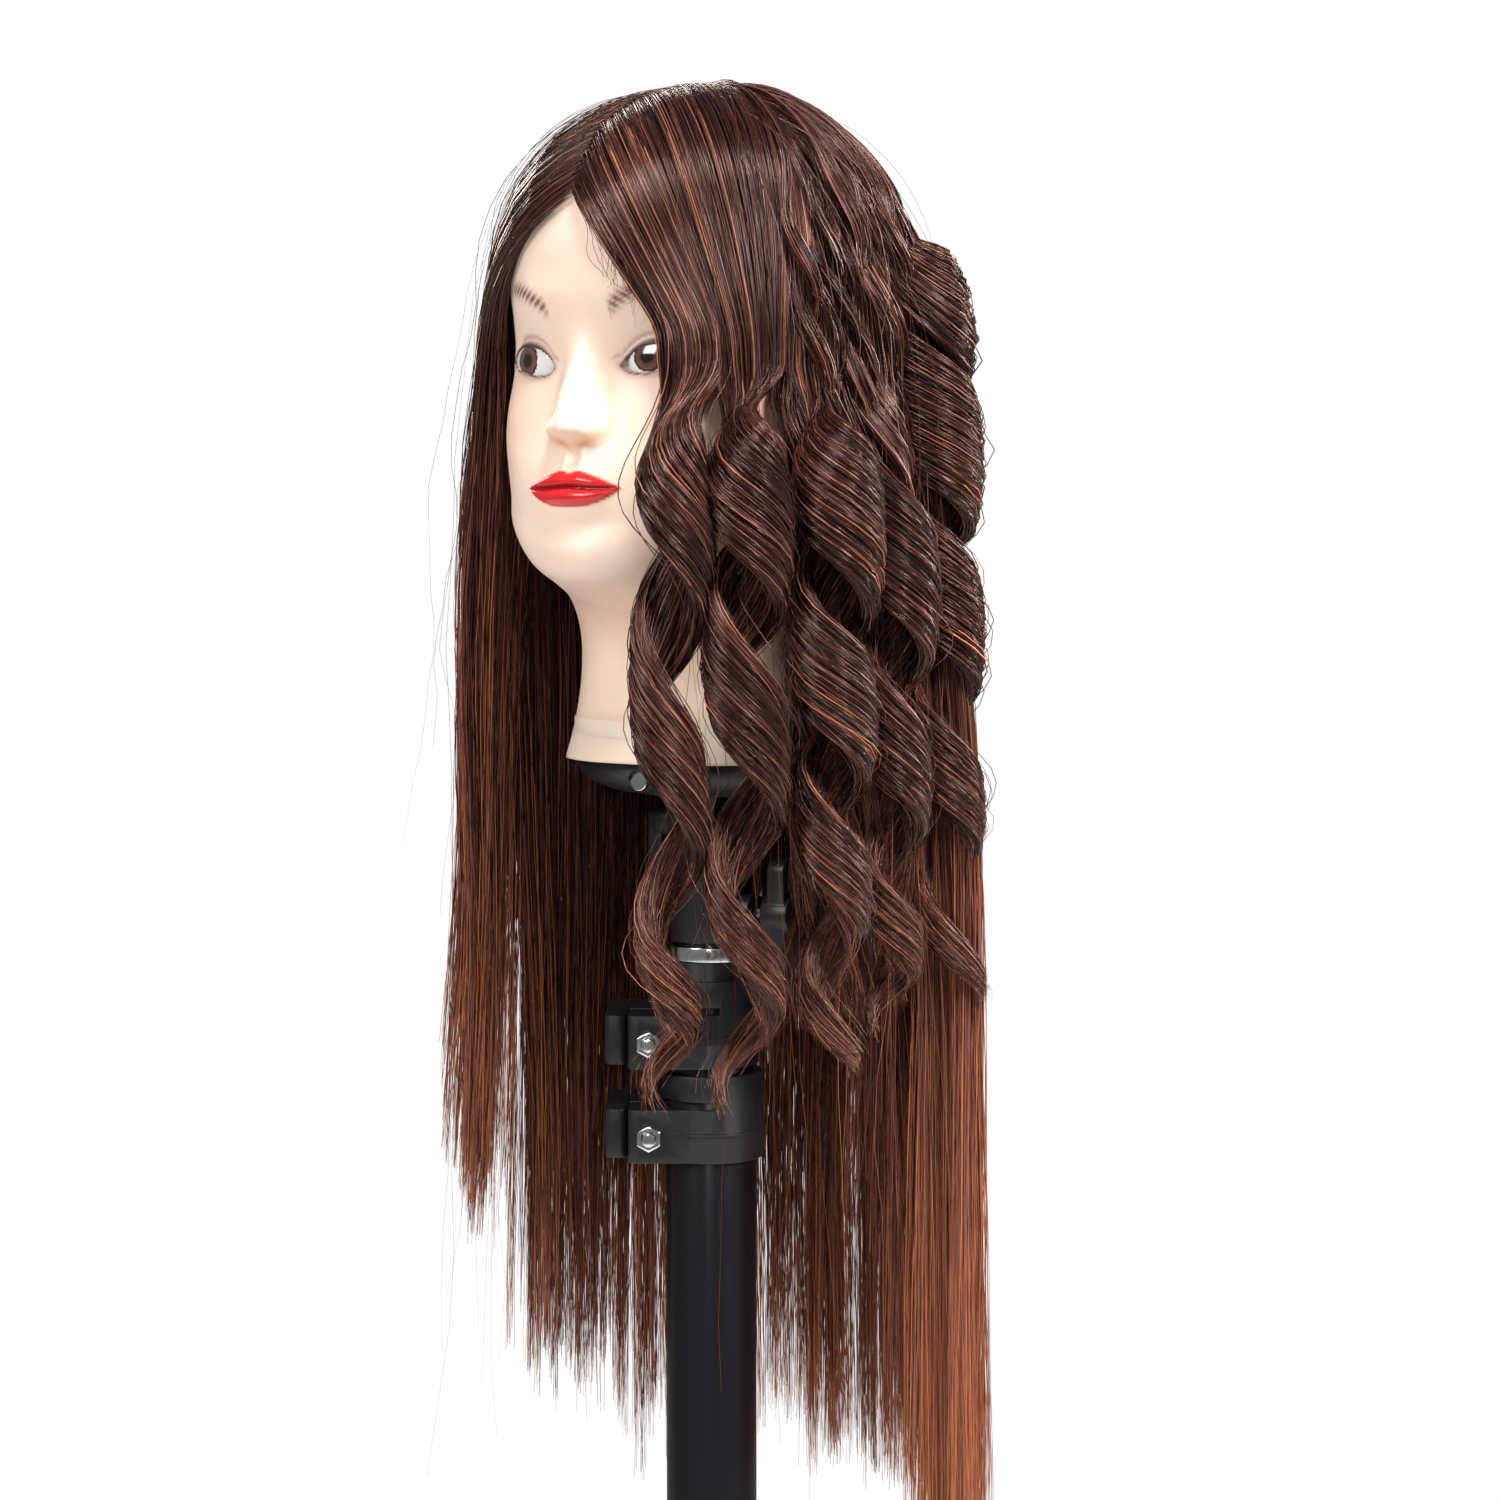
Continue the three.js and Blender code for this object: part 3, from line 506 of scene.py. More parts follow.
def buildHead():
    columns = head["columns"]
    rows = head["rows"]
    even = np.linspace(-1.0, 1.0, columns, endpoint=False)
    turn = math.pi * (head["crowding"][0] * even + head["crowding"][1] * even**3)
    v = np.linspace(0.0, 1.0, rows + 1)[:-1]
    t = np.interp(v, *head["rowPlaces"])
    near = head["rowSmoothing"]
    spread = 2 * near + 1
    t = np.convolve(np.pad(t, near, mode="reflect", reflect_type="odd"), np.ones(spread) / spread, "valid")
    t[0] = 0.0
    points, apart = headSurface(turn, t)
    masks = paintedFace(points, apart)
    grid, faces = wrapped(rows, columns)
    wall = head["wall"]
    side, front = head["neckHalf"]
    inner = points[0] * np.array([(side - wall) / side, (front - wall) / front, 1.0])
    inside = np.array([inner, inner + [0.0, 0.0, head["innerWall"]]]).reshape(-1, 3)
    low, last = grid[0], grid[-1]
    lowAfter, lastAfter = np.roll(low, -1), np.roll(last, -1)
    ring = rows * columns + np.arange(columns)
    ringAfter = np.roll(ring, -1)
    cutFaces = np.stack([lowAfter, low, ring, ringAfter], 1)
    wallFaces = np.stack([ringAfter, ring, ring + columns, ringAfter + columns], 1)
    crown = np.array([[0.0, 0.0, headRings[-1, 1]]])
    allPoints = np.vstack([points.reshape(-1, 3), inside, crown])
    top = len(allPoints) - 1
    faces = np.vstack([faces, cutFaces, wallFaces])
    skin = surface(
        "headVinyl", paintSkin, Subsurface_Weight=0.25, Subsurface_Radius=(1.0, 0.4, 0.2),
        Subsurface_Scale=5 * mm, Specular_IOR_Level=0.45,
    )
    piece = meshPiece("paintedHead", standing(allPoints), faces, skin)
    bm = bmesh.new()
    bm.from_mesh(piece.data)
    bm.verts.ensure_lookup_table()
    for a, b in zip(last, lastAfter):
        bm.faces.new((bm.verts[a], bm.verts[b], bm.verts[top])).smooth = True
    bm.to_mesh(piece.data)
    bm.free()
    for name, mask in masks.items():
        values = np.zeros(len(allPoints))
        values[: rows * columns] = mask.ravel()
        paintPoints(piece, name, values)
    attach(piece, "head")
    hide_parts("vinyl_skin")


def paintEye(wire):
    away = wire.attribute("away")
    fibres = wire.noise(700.0, 4.0)
    reach = away + (fibres - 0.5) * 0.08
    iris = eyes["irisRadius"] / eyes["paintReach"]
    stops = [
        (0.0, rgb(0.004, 0.003, 0.003)), (iris * 0.42, rgb(0.006, 0.004, 0.004)),
        (iris * 0.5, rgb(0.09, 0.035, 0.025)), (iris * 0.82, rgb(0.16, 0.075, 0.06)),
        (iris * 0.93, rgb(0.03, 0.015, 0.015)), (iris, rgb(0.05, 0.03, 0.03)),
        (iris * 1.07, rgb(0.82, 0.8, 0.8)), (1.0, rgb(0.8, 0.72, 0.7)),
    ]
    return {"Base Color": wire.ramp(reach, stops)}


def buildEyes():
    gloss = surface("eyeAcrylic", paintEye, Roughness=0.12, Coat_Weight=1.0, Coat_Roughness=0.02)
    half, tall, deep = eyes["half"]
    rows, columns = eyes["rows"], eyes["columns"]
    rise = np.linspace(-math.pi / 2, math.pi / 2, rows + 1)[:, None]
    about = np.linspace(0, 2 * math.pi, columns, endpoint=False)[None, :]
    ballX = np.cos(rise) * np.sin(about)
    ballY = -np.cos(rise) * np.cos(about)
    ballZ = np.sin(rise) + 0.0 * about
    faces = wrapped(rows + 1, columns)[1]
    turn = math.radians(eyes["turn"])
    for side, node in ((-1, "right_eye"), (1, "left_eye")):
        x = side * (eyes["aside"] + half * ballX * side)
        shear = math.tan(turn) * (side * x - eyes["aside"])
        y = -eyes["front"] + deep * ballY + shear
        z = eyes["height"] + tall * ballZ
        points = np.stack([x, y, z], 2).reshape(-1, 3)
        gaze = side * eyes["aside"] + eyes["irisAside"]
        away = np.hypot(points[:, 0] - gaze, points[:, 2] - eyes["height"] - eyes["irisUp"])
        hidden = points[:, 1] > -eyes["front"] + eyes["paintDepth"]
        piece = meshPiece(f"{node}_glossy", standing(points), faces, gloss)
        paintPoints(piece, "away", away / eyes["paintReach"] + 2.0 * hidden)
        bm = bmesh.new()
        bm.from_mesh(piece.data)
        bmesh.ops.remove_doubles(bm, verts=bm.verts, dist=1e-6)
        bm.to_mesh(piece.data)
        bm.free()
        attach(piece, "head")
        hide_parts(node)


buildHead()
buildEyes()
print("the head is built")


hair = {
    "seed": 11,
    "strandRadius": 0.34 * mm,
    "centre": np.array([0.0, -4.0, 195.0]),
    "half": np.array([74.0, 98.5, 97.0]),
    "rootLift": 2.5,
    "away": 33.0,  # azimuth that the ringlets' waves are set out from
    "bends": (110.0, -160.0),  # it follows the head above the first height, the holder below the second
}
random = np.random.default_rng(hair["seed"])


def paintHair(wire):
    tone = wire.attribute("tone")
    # the pinkish-brown stop at 0.8 is a painted highlight colour, reached by the lightest strands and the
    # painted glints; the stops below it are the hair's own browns and the top one its auburn tips
    stops = [
        (0.0, rgb(0.004, 0.0013, 0.001)), (0.35, rgb(0.026, 0.0082, 0.006)),
        (0.6, rgb(0.13, 0.044, 0.031)), (0.8, rgb(0.37, 0.145, 0.098)), (1.0, rgb(0.62, 0.2, 0.07)),
    ]
    return {"Base Color": wire.ramp(tone, stops)}


strandFinish = surface(
    "hairStrands", paintHair, Roughness=0.22, Specular_IOR_Level=0.7, Specular_Tint=rgb(1.0, 0.66, 0.58),
)


def heading(turn, rise):
    turn = np.radians(turn)
    rise = np.radians(rise)
    return np.stack([
        np.sin(turn) * np.cos(rise), -np.cos(turn) * np.cos(rise), np.sin(rise) + 0.0 * turn,
    ], -1)


def measureSkull(step):
    # how far the vinyl reaches from the skull's centre, by turn and rise
    mesh = frame["nodes"]["vinyl_skin"].data
    corners = [vertex.co for vertex in mesh.vertices]
    skin = BVHTree.FromPolygons(corners, [tuple(face.vertices) for face in mesh.polygons])
    turns, rises = np.meshgrid(np.arange(-180, 181, step), np.arange(-90, 91, step), indexing="ij")
    ways = heading(turns, rises)
    plain = 1.0 / np.sqrt(((ways / hair["half"]) ** 2).sum(-1))
    reach = plain.copy()
    for place in np.ndindex(reach.shape):
        way = Vector(ways[place])
        start = (Vector(hair["centre"]) + way * 300.0) * mm + Vector((0.0, 0.0, neckZ))
        distance = skin.ray_cast(start, -way)[3]
        if distance is not None:
            reach[place] = max(300.0 - distance / mm, plain[place] * 0.98)
    return reach


skullStep = 5
skullReach = measureSkull(skullStep)


def overSkull(way, lift):
    turn = np.degrees(np.arctan2(way[..., 0], -way[..., 1]))
    rise = np.degrees(np.arcsin(np.clip(way[..., 2], -1.0, 1.0)))
    a = np.clip((turn + 180.0) / skullStep, 0.0, skullReach.shape[0] - 1.001)
    b = np.clip((rise + 90.0) / skullStep, 0.0, skullReach.shape[1] - 1.001)
    i, j = a.astype(int), b.astype(int)
    u, v = a - i, b - j
    near = skullReach[i, j] * (1 - u) + skullReach[i + 1, j] * u
    far = skullReach[i, j + 1] * (1 - u) + skullReach[i + 1, j + 1] * u
    reach = near * (1 - v) + far * v
    return hair["centre"] + way * (reach + lift)[..., None]


def combed(root, hang, lift, tip, flare, points, over=0.36, begin=None):
    # root and hang are (turn, rise) pairs of arrays, lift is a (root, hang) pair, in millimetres
    a = heading(*root)
    b = heading(*hang)
    onSkull = int(points * over)
    begin = np.zeros(len(tip)) if begin is None else begin
    s = (begin[:, None] + (1.0 - begin[:, None]) * np.linspace(0.0, 1.0, onSkull)[None, :])[..., None]
    angle = np.arccos(np.clip((a * b).sum(-1), -0.9999, 0.9999))[:, None, None]
    path = (np.sin((1 - s) * angle) * a[:, None] + np.sin(s * angle) * b[:, None]) / np.sin(angle)
    rise = lift[0][:, None] + (lift[1] - lift[0])[:, None] * s[..., 0] ** 1.5
    own = np.linspace(0.0, 1.0, onSkull)[None, :]
    rise = hair["rootLift"] + (rise - hair["rootLift"]) * ease(own, -0.1, 0.16)
    above = overSkull(path, rise)
    start = above[:, -1]
    v = np.linspace(0.0, 1.0, points - onSkull + 1)[1:][None, :]
    z = start[:, 2:3] + (tip[:, None] - start[:, 2:3]) * v
    out = 1.0 + flare[0][:, None] * ease(v, 0.0, 0.4) + flare[1][:, None] * v**3
    below = np.stack([start[:, 0:1] * out, start[:, 1:2] * out, z], 2)
    return np.concatenate([above, below], 1)


def relaxed(paths, rounds):
    # rounds off corners along each strand, with both ends held
    paths = paths.copy()
    for _ in range(rounds):
        paths[:, 1:-1] += 0.5 * (0.5 * (paths[:, :-2] + paths[:, 2:]) - paths[:, 1:-1])
    return paths


def gathered(paths, locks, pull, start=0.15):
    # draws each strand towards its own lock's middle, more towards the tip
    along = np.linspace(0.0, 1.0, paths.shape[1])[None, :, None]
    middle = np.zeros((locks.max() + 1,) + paths.shape[1:])
    for k in range(locks.max() + 1):
        if (locks == k).any():
            middle[k] = paths[locks == k].mean(0)
    return paths + (middle[locks] - paths) * (pull * ease(along, start, 1.0))


def frizzed(paths, size):
    count, points, _ = paths.shape
    along = np.linspace(0.0, 1.0, points)[None, :]
    extra = np.zeros_like(paths)
    for axis in range(3):
        for waves in (1.5, 3.5, 8.0):
            phase = random.uniform(0, 2 * math.pi, (count, 1))
            height = random.normal(0, size / waves, (count, 1))
            extra[:, :, axis] += height * np.sin(waves * 2 * math.pi * along + phase)
    extra[:, :, 2] *= 0.3
    return paths + extra * ease(along, 0.08, 0.5)[..., None]


def wavy(paths, size, length, phase, top):
    # swings strands from side to side and out and in as they go down
    z = paths[..., 2]
    down = ease(top - z, 0.0, 70.0)
    turn = np.arctan2(paths[..., 0], hair["centre"][1] - paths[..., 1])
    angle = 2 * math.pi * (top - z) / length + phase[:, None]
    swing = size * down * np.sin(angle)
    push = 0.7 * size * down * np.cos(angle)
    step = np.stack([
        np.cos(turn) * swing + np.sin(turn) * push, np.sin(turn) * swing - np.cos(turn) * push, 0.0 * z,
    ], -1)
    return paths + step


def strandPiece(name, paths, tone, nodes, thickness=1.0):
    paths = standing(np.asarray(paths, float))
    count, points, _ = paths.shape
    tangent = np.gradient(paths, axis=1)
    tangent /= np.linalg.norm(tangent, axis=2, keepdims=True) + 1e-12
    outward = paths.copy()
    outward[..., 2] = 0.15 * outward[..., 2]
    outward -= (outward * tangent).sum(2, keepdims=True) * tangent
    outward /= np.linalg.norm(outward, axis=2, keepdims=True) + 1e-12
    across = np.cross(tangent, outward)
    along = np.linspace(0.0, 1.0, points)
    taper = ease(along, -0.05, 0.04) * (1.0 - 0.7 * along**2.5)
    radius = hair["strandRadius"] * thickness * random.uniform(0.65, 1.2, (count, 1)) * taper
    roll = random.uniform(0, 2 * math.pi, (count, 1))
    rings = []
    for corner in range(3):
        angle = roll + corner * 2 * math.pi / 3
        spoke = np.cos(angle)[..., None] * outward + np.sin(angle)[..., None] * across
        rings.append(paths + spoke * radius[..., None])
    allPoints = np.stack(rings, 2).reshape(-1, 3)
    index = np.arange(count * points * 3).reshape(count, points, 3)
    after = np.roll(index, -1, 2)
    faces = np.stack([index[:, :-1], index[:, 1:], after[:, 1:], after[:, :-1]], 3).reshape(-1, 4)
    piece = meshPiece(name, allPoints, faces, strandFinish)
    paintPoints(piece, "tone", np.repeat(np.clip(tone, 0, 1)[..., None], 3, 2))
    layer = piece.data.uv_layers.new(name="OFBake")
    column = (np.arange(count)[:, None, None] + np.array([0.1, 0.4, 0.7])[None, None, :]) / count
    uv = np.stack([
        np.broadcast_to(column, (count, points, 3)),
        np.broadcast_to(along[None, :, None], (count, points, 3)),
    ], 3).reshape(-1, 2)
    layer.data.foreach_set("uv", uv[faces.ravel()].astype(np.float32).ravel())
    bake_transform(piece)
    if nodes:
        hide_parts(*nodes)


def toneAlong(count, points, root, tip, spread, start=0.2):
    # root and tip tone, a spread between strands, one strand in ten lighter towards the painted highlight
    # colour, and small painted glints along each: lighter bands that stand in for highlights
    along = np.linspace(0.0, 1.0, points)[None, :]
    own = random.normal(0.0, spread, (count, 1))
    own += 0.3 * (random.uniform(0, 1, (count, 1)) < 0.1)
    # painted glints: the tone rises and falls along each strand like highlights
    paintedGlints = 0.07 * np.sin(along * points * 0.5 + random.uniform(0, 2 * math.pi, (count, 1)))
    return root + (tip - root) * ease(along, start, 1.0) + own + paintedGlints


straightLook = {
    "points": 23, "onHead": 0.4,  # share of the points that lie over the skull
    "locks": 34, "lockPull": 0.68, "lockShift": 4.5,
    "bigLocks": 9, "bigPull": 0.2, "frizz": 2.0,
}

straightParts = {
    # turns and rises: the roots, where 0 and 90 are the front and the top of the parting
    # hangs and low: turn and rise where the hair leaves the head; tips: height of the ends
    # lifts: of the inside and the outside; flare and drift: how far each spreads below the head, at the tip
    # thin: how far above the rest the shortest strand ends; tone: root and tip, with vary between strands
    # join: how far the ends draw together
    "hairRightFront": {
        "count": 1500, "turns": (0, 0), "rises": (26, 84), "hangs": (-44, -84), "low": (-6, -12),
        "tips": (-232, -262), "lifts": (7, 20), "flare": (0.04, 0.13), "drift": (0.02, 0.14),
        "thin": 230, "nodes": ["hair_right_side"], "tone": (0.3, 0.72), "vary": 0.17, "join": 0.8,
    },
    "hairRightBack": {
        "count": 1400, "turns": (0, 0), "rises": (70, 98), "hangs": (-72, -130), "low": (-12, -22),
        "tips": (-350, -385), "lifts": (5, 20), "flare": (-0.06, 0.06), "drift": (0.0, 0.06),
        "thin": 330, "nodes": ["hair_back_right"], "tone": (0.2, 0.66), "vary": 0.17, "join": 0.3,
    },
    "hairBackOne": {
        "count": 1500, "turns": (0, 0), "rises": (96, 104), "hangs": (-122, -182), "low": (-22, -26),
        "tips": (-385, -385), "lifts": (5, 19), "flare": (-0.04, 0.08), "drift": (0.0, 0.06),
        "thin": 250, "nodes": [], "tone": (0.22, 0.66), "vary": 0.17,
    },
    "hairBackTwo": {
        "count": 1500, "turns": (0, 0), "rises": (104, 98), "hangs": (-172, -228), "low": (-26, -24),
        "tips": (-385, -385), "lifts": (5, 19), "flare": (0.0, 0.1), "drift": (0.0, 0.06),
        "thin": 190, "nodes": [], "tone": (0.26, 0.74), "vary": 0.17,
    },
    "hairBackLeft": {
        "count": 1500, "turns": (180, 125), "rises": (62, 50), "hangs": (146, 110), "low": (-24, -14),
        "tips": (-385, -385), "lifts": (10, 27), "flare": (0.07, 0.2), "drift": (-0.03, 0.03),
        "thin": 90, "nodes": ["hair_back_left"], "tone": (0.33, 0.84), "vary": 0.15,
    },
    "hairNape": {
        "count": 1000, "turns": (105, 255), "rises": (-16, -16), "hangs": (108, 252), "low": (-30, -30),
        "tips": (-250, -250), "lifts": (-2, 8), "flare": (-0.1, 0.0), "drift": (-0.05, 0.05),
        "thin": 160, "nodes": [], "tone": (0.14, 0.5),
    },
}


def straightHair(name, part):
    # a sheet of straight hair: each pair is given at its front and back edge, or inside and outside
    count, points = part["count"], straightLook["points"]
    u = random.uniform(0, 1, count)
    layer = random.uniform(0, 1, count) ** 0.7
    root = (
        between(part["turns"], u) + random.normal(0, 1.0, count),
        between(part["rises"], u) + random.normal(0, 0.8, count),
    )
    hang = (between(part["hangs"], u), between(part["low"], u) + random.normal(0, 1.5, count))
    lift = (3.5 + 4.5 * layer, between(part["lifts"], layer))
    wisp = random.uniform(0, 1, count)
    tip = between(part["tips"], u) + random.normal(0, 10.0, count) + part["thin"] * wisp**2
    spread = between(part["flare"], layer) + random.normal(0, 0.012, count)
    drift = between(part["drift"], layer) + random.normal(0, 0.02, count)
    begin = (1.0 - layer) * 0.5 * random.uniform(0, 1, count)
    paths = combed(root, hang, lift, tip, (spread, drift), points, straightLook["onHead"], begin)
    paths = relaxed(paths, 3)
    big = np.floor(u * straightLook["bigLocks"] + 0.8 * random.uniform(0, 1, count)).astype(int)
    small = np.floor(u * straightLook["locks"] + random.uniform(0, 1, count)).astype(int) * 3
    small += (layer * 2.99).astype(int)  # three layers of locks
    paths = gathered(paths, small, straightLook["lockPull"])
    paths = gathered(paths, big, straightLook["bigPull"], 0.45)
    joined = gathered(paths, np.zeros(count, int), part.get("join", 0.0), 0.45)
    paths[..., :2] = joined[..., :2]
    shift = random.normal(0, straightLook["lockShift"], (small.max() + 1, 1, 3)) * np.array([1.0, 1.0, 0.0])
    paths = paths + shift[small] * ease(np.linspace(0, 1, points), 0.45, 1.05)[None, :, None]
    paths = frizzed(paths, straightLook["frizz"])
    shade = toneAlong(count, points, *part["tone"], part.get("vary", 0.15))
    strandPiece(name, paths, shade, part["nodes"])


ringletLook = {
    "count": 470, "layers": 2, "points": 70, "onHead": 0.26,
    "locks": 12, "lockPull": 0.35, "frizz": 1.0, "strays": 0.06, "strayFrizz": 5.0,
    "tone": (0.34, 0.48), "vary": 0.17, "fade": 0.6,
}

ringlets = {
    # turns and rises: the roots; leave: turn and rise where the lock leaves the head, fanned out by fan
    # change: how far below that it turns from combed to curled; tip: height of its end
    # axis: the curl's turn, and how far out it hangs at the top and the tip; radius: of the curl, the same
    # bulges: heights where the lock swings fully to the left; width: at the top, half way and at the tip
    "ringlet_1": {
        "turns": (0, 0), "rises": (27, 56), "leave": (31, -7), "fan": 8.0, "change": (4, 64),
        "axis": (26.5, 113, 116), "radius": (12, 14), "bulges": (150, 38, -70, -134),
        "width": (54, 36, 8), "tip": -134,
    },
    "ringlet_2": {
        "turns": (0, 0), "rises": (52, 97), "leave": (45, -8), "fan": 10.0, "change": (4, 60),
        "axis": (42.5, 112, 112), "radius": (13, 16), "bulges": (141, 52, -48, -134),
        "width": (58, 38, 8), "tip": -136,
    },
    "ringlet_3": {
        "turns": (62, 70), "rises": (84, 46), "leave": (66, -13), "fan": 11.0, "change": (0, 54),
        "axis": (63.0, 112, 110), "radius": (14, 14), "bulges": (138, 55, -17, -92),
        "width": (58, 42, 12), "tip": -122,
    },
    "ringlet_4": {
        "turns": (78, 92), "rises": (82, 40), "leave": (86, -16), "fan": 11.0, "change": (-6, 48),
        "axis": (84.0, 106, 104), "radius": (14, 13), "bulges": (112, 30, -50, -112),
        "width": (54, 38, 10), "tip": -112,
    },
    "ringlet_5": {
        "turns": (106, 146), "rises": (82, 60), "leave": (108, 28), "fan": 13.0, "change": (-6, 44),
        "axis": (111.0, 98, 113), "radius": (17, 15), "bulges": (165, 94, 15, -65),
        "width": (62, 44, 10), "tip": -108,
    },
}


def ringletPaths(lock, count, points, onHead):
    u = random.uniform(-1, 1, count)
    layer = random.uniform(-1, 1, count) * np.sqrt(np.clip(1 - u**2, 0.15, 1))
    share = 0.5 + 0.5 * u
    root = (
        between(lock["turns"], share) + random.normal(0, 1.5, count),
        between(lock["rises"], share) + random.normal(0, 1.0, count),
    )
    leave = (lock["leave"][0] + lock["fan"] * u, np.full(count, float(lock["leave"][1])))
    lift = (5.5 + 2.5 * layer, 13.0 + 5.0 * layer)
    ends = lock["tip"] + random.normal(0, 5.0, count) + 46.0 * random.uniform(0, 1, count) ** 3
    flat = (np.zeros(count), np.zeros(count))
    begin = 0.25 * random.uniform(0, 1, count) ** 2
    base = relaxed(combed(root, leave, lift, ends, flat, points, onHead, begin), 3)
    z = base[..., 2]
    top = z[:, int(points * onHead)].mean()
    down = np.clip((top - z) / (top - lock["tip"]), 0.0, 1.1)
    turn = math.radians(lock["axis"][0])
    reach = between(lock["axis"][1:], down)
    radius = between(lock["radius"], down)
    leftward = math.radians(180.0 + hair["away"])
    heights = np.array(lock["bulges"], float)
    heights = np.concatenate([[2 * heights[0] - heights[1]], heights, [2 * heights[-1] - heights[-2]]])
    swings = np.interp(-z, -heights, np.arange(len(heights)))
    swings += np.maximum(z - heights[0], 0.0) / (heights[1] - heights[0])
    swings = relaxed(swings[..., None], 6)[..., 0]
    phase = leftward + 2 * math.pi * (swings - 1.0)
    slope = radius * 2 * math.pi * len(lock["bulges"]) / (heights[0] - heights[-1])
    lean = 1.0 / np.sqrt(1 + slope**2)
    wide = 0.5 * np.interp(down, [0.0, 0.12, 0.55, 1.0], np.array(lock["width"])[[0, 0, 1, 2]])
    sideStep = u[:, None] * wide
    wrap = phase + sideStep * lean / (radius + 6.0)
    outward = radius + layer[:, None] * 0.27 * wide
    x = reach * math.sin(turn) + outward * np.cos(wrap)
    y = hair["centre"][1] - reach * math.cos(turn) + outward * np.sin(wrap)
    curled = np.stack([x, y, z + sideStep * slope * lean], 2)
    return base + (curled - base) * ease(top - z, *lock["change"])[..., None], u


def ringletHair(node, lock, number):
    count, points = ringletLook["count"], ringletLook["points"]
    paths, u = ringletPaths(lock, count, points, ringletLook["onHead"])
    order = np.floor((0.5 + 0.5 * u) * (ringletLook["locks"] - 0.01)).astype(int)
    paths = gathered(paths, order, ringletLook["lockPull"])
    paths = frizzed(paths, ringletLook["frizz"])
    stray = random.uniform(0, 1, count) < ringletLook["strays"]
    paths[stray] = frizzed(paths[stray], ringletLook["strayFrizz"])
    shade = toneAlong(count, points, *ringletLook["tone"], ringletLook["vary"], ringletLook["fade"])
    strandPiece(f"{node}_strands_{number}", paths, shade, [node] if number == 1 else [])


waveLook = {
    "count": 560, "points": 55, "onHead": 0.4, "tips": (-60.0, -130.0), "locks": 7, "lockPull": 0.5,
    "swing": 7.5, "length": 84.0, "top": 275.0, "frizz": 1.6, "tone": (0.3, 0.46), "vary": 0.17,
}

sideWaves = {
    # between and behind the ringlets
    "waveFront": {"turns": (60, 66), "rises": (88, 34), "hangs": (58, 82), "low": (-8, -14)},
    "waveMiddle": {"turns": (70, 110), "rises": (84, 48), "hangs": (76, 104), "low": (-2, -12)},
    "waveBack": {"turns": (100, 160), "rises": (84, 62), "hangs": (98, 126), "low": (8, 0)},
}


def wavyHair(name, part):
    count, points = waveLook["count"], waveLook["points"]
    u = random.uniform(0, 1, count)
    layer = random.uniform(0, 1, count)
    root = (between(part["turns"], u), between(part["rises"], u) + random.normal(0, 1.5, count))
    hang = (between(part["hangs"], u), between(part["low"], u))
    tip = between(waveLook["tips"], random.uniform(0, 1, count))
    lift = (4.0 + 5.0 * layer, 6.0 + 14.0 * layer)
    loose = (random.normal(0, 0.02, count), random.normal(0, 0.03, count))
    begin = 0.5 * random.uniform(0, 1, count) * (1.0 - layer)
    paths = relaxed(combed(root, hang, lift, tip, loose, points, waveLook["onHead"], begin), 3)
    order = np.floor(u * (waveLook["locks"] - 0.01)).astype(int) * 2 + (layer > 0.5)
    phase = random.uniform(0, 2 * math.pi, 2 * waveLook["locks"])[order] + random.normal(0, 0.18, count)
    paths = wavy(paths, waveLook["swing"], waveLook["length"], phase, waveLook["top"])
    paths = gathered(paths, order, waveLook["lockPull"])
    paths = frizzed(paths, waveLook["frizz"])
    strandPiece(name, paths, toneAlong(count, points, *waveLook["tone"], waveLook["vary"]), [])


wisps = {
    "count": 36, "points": 22, "onHead": 0.75, "root": 1.0, "rises": (26.0, 32.0), "hangs": (11.0, 22.0),
    "low": 8.0, "tip": 196.0, "frizz": 2.2, "tone": (0.3, 0.5), "vary": 0.08, "thickness": 0.5,
}


def foreheadWisps():
    # a few short hairs that fall over the forehead beside the parting
    count, points = wisps["count"], wisps["points"]
    u = random.uniform(0, 1, count)
    root = (random.normal(wisps["root"], 1.0, count), between(wisps["rises"], u))
    hang = (
        between(wisps["hangs"], u) + random.normal(0, 2.0, count),
        wisps["low"] + random.normal(0, 4.0, count),
    )
    lift = (random.uniform(5, 7, count), random.uniform(4, 12, count))
    tip = wisps["tip"] + random.normal(0, 7.0, count)
    loose = (random.normal(0.0, 0.02, count), random.normal(0.0, 0.04, count))
    paths = relaxed(combed(root, hang, lift, tip, loose, points, wisps["onHead"]), 3)
    paths = frizzed(paths, wisps["frizz"])
    shade = toneAlong(count, points, *wisps["tone"], wisps["vary"])
    strandPiece("hairWisps", paths, shade, [], wisps["thickness"])


strays = {
    "count": 240, "points": 26, "onHead": 0.4, "turns": (-170.0, 170.0), "rises": (62.0, 95.0),
    "low": (-20.0, 15.0), "tips": (-320.0, 60.0), "face": (-8.0, 36.0),  # middle and half width kept clear
    "frizz": 6.5, "tone": (0.35, 0.6), "vary": 0.12, "thickness": 0.42,
}


def flyaways():
    count, points = strays["count"], strays["points"]
    middle, clear = strays["face"]
    turn = random.uniform(*strays["turns"], count)
    turn = np.where(np.abs(turn - middle) < clear, turn + 90.0 * np.sign(turn - middle), turn)
    root = (turn * 0.3, random.uniform(*strays["rises"], count))
    hang = (turn, random.uniform(*strays["low"], count))
    lift = (random.uniform(6, 10, count), random.uniform(14, 27, count))
    tip = random.uniform(*strays["tips"], count)
    loose = (random.normal(0.04, 0.05, count), random.normal(0.03, 0.08, count))
    begin = random.uniform(0, 0.3, count)
    paths = relaxed(combed(root, hang, lift, tip, loose, points, strays["onHead"], begin), 3)
    paths = frizzed(paths, strays["frizz"])
    shade = toneAlong(count, points, *strays["tone"], strays["vary"])
    strandPiece("hairFlyaways", paths, shade, [], strays["thickness"])


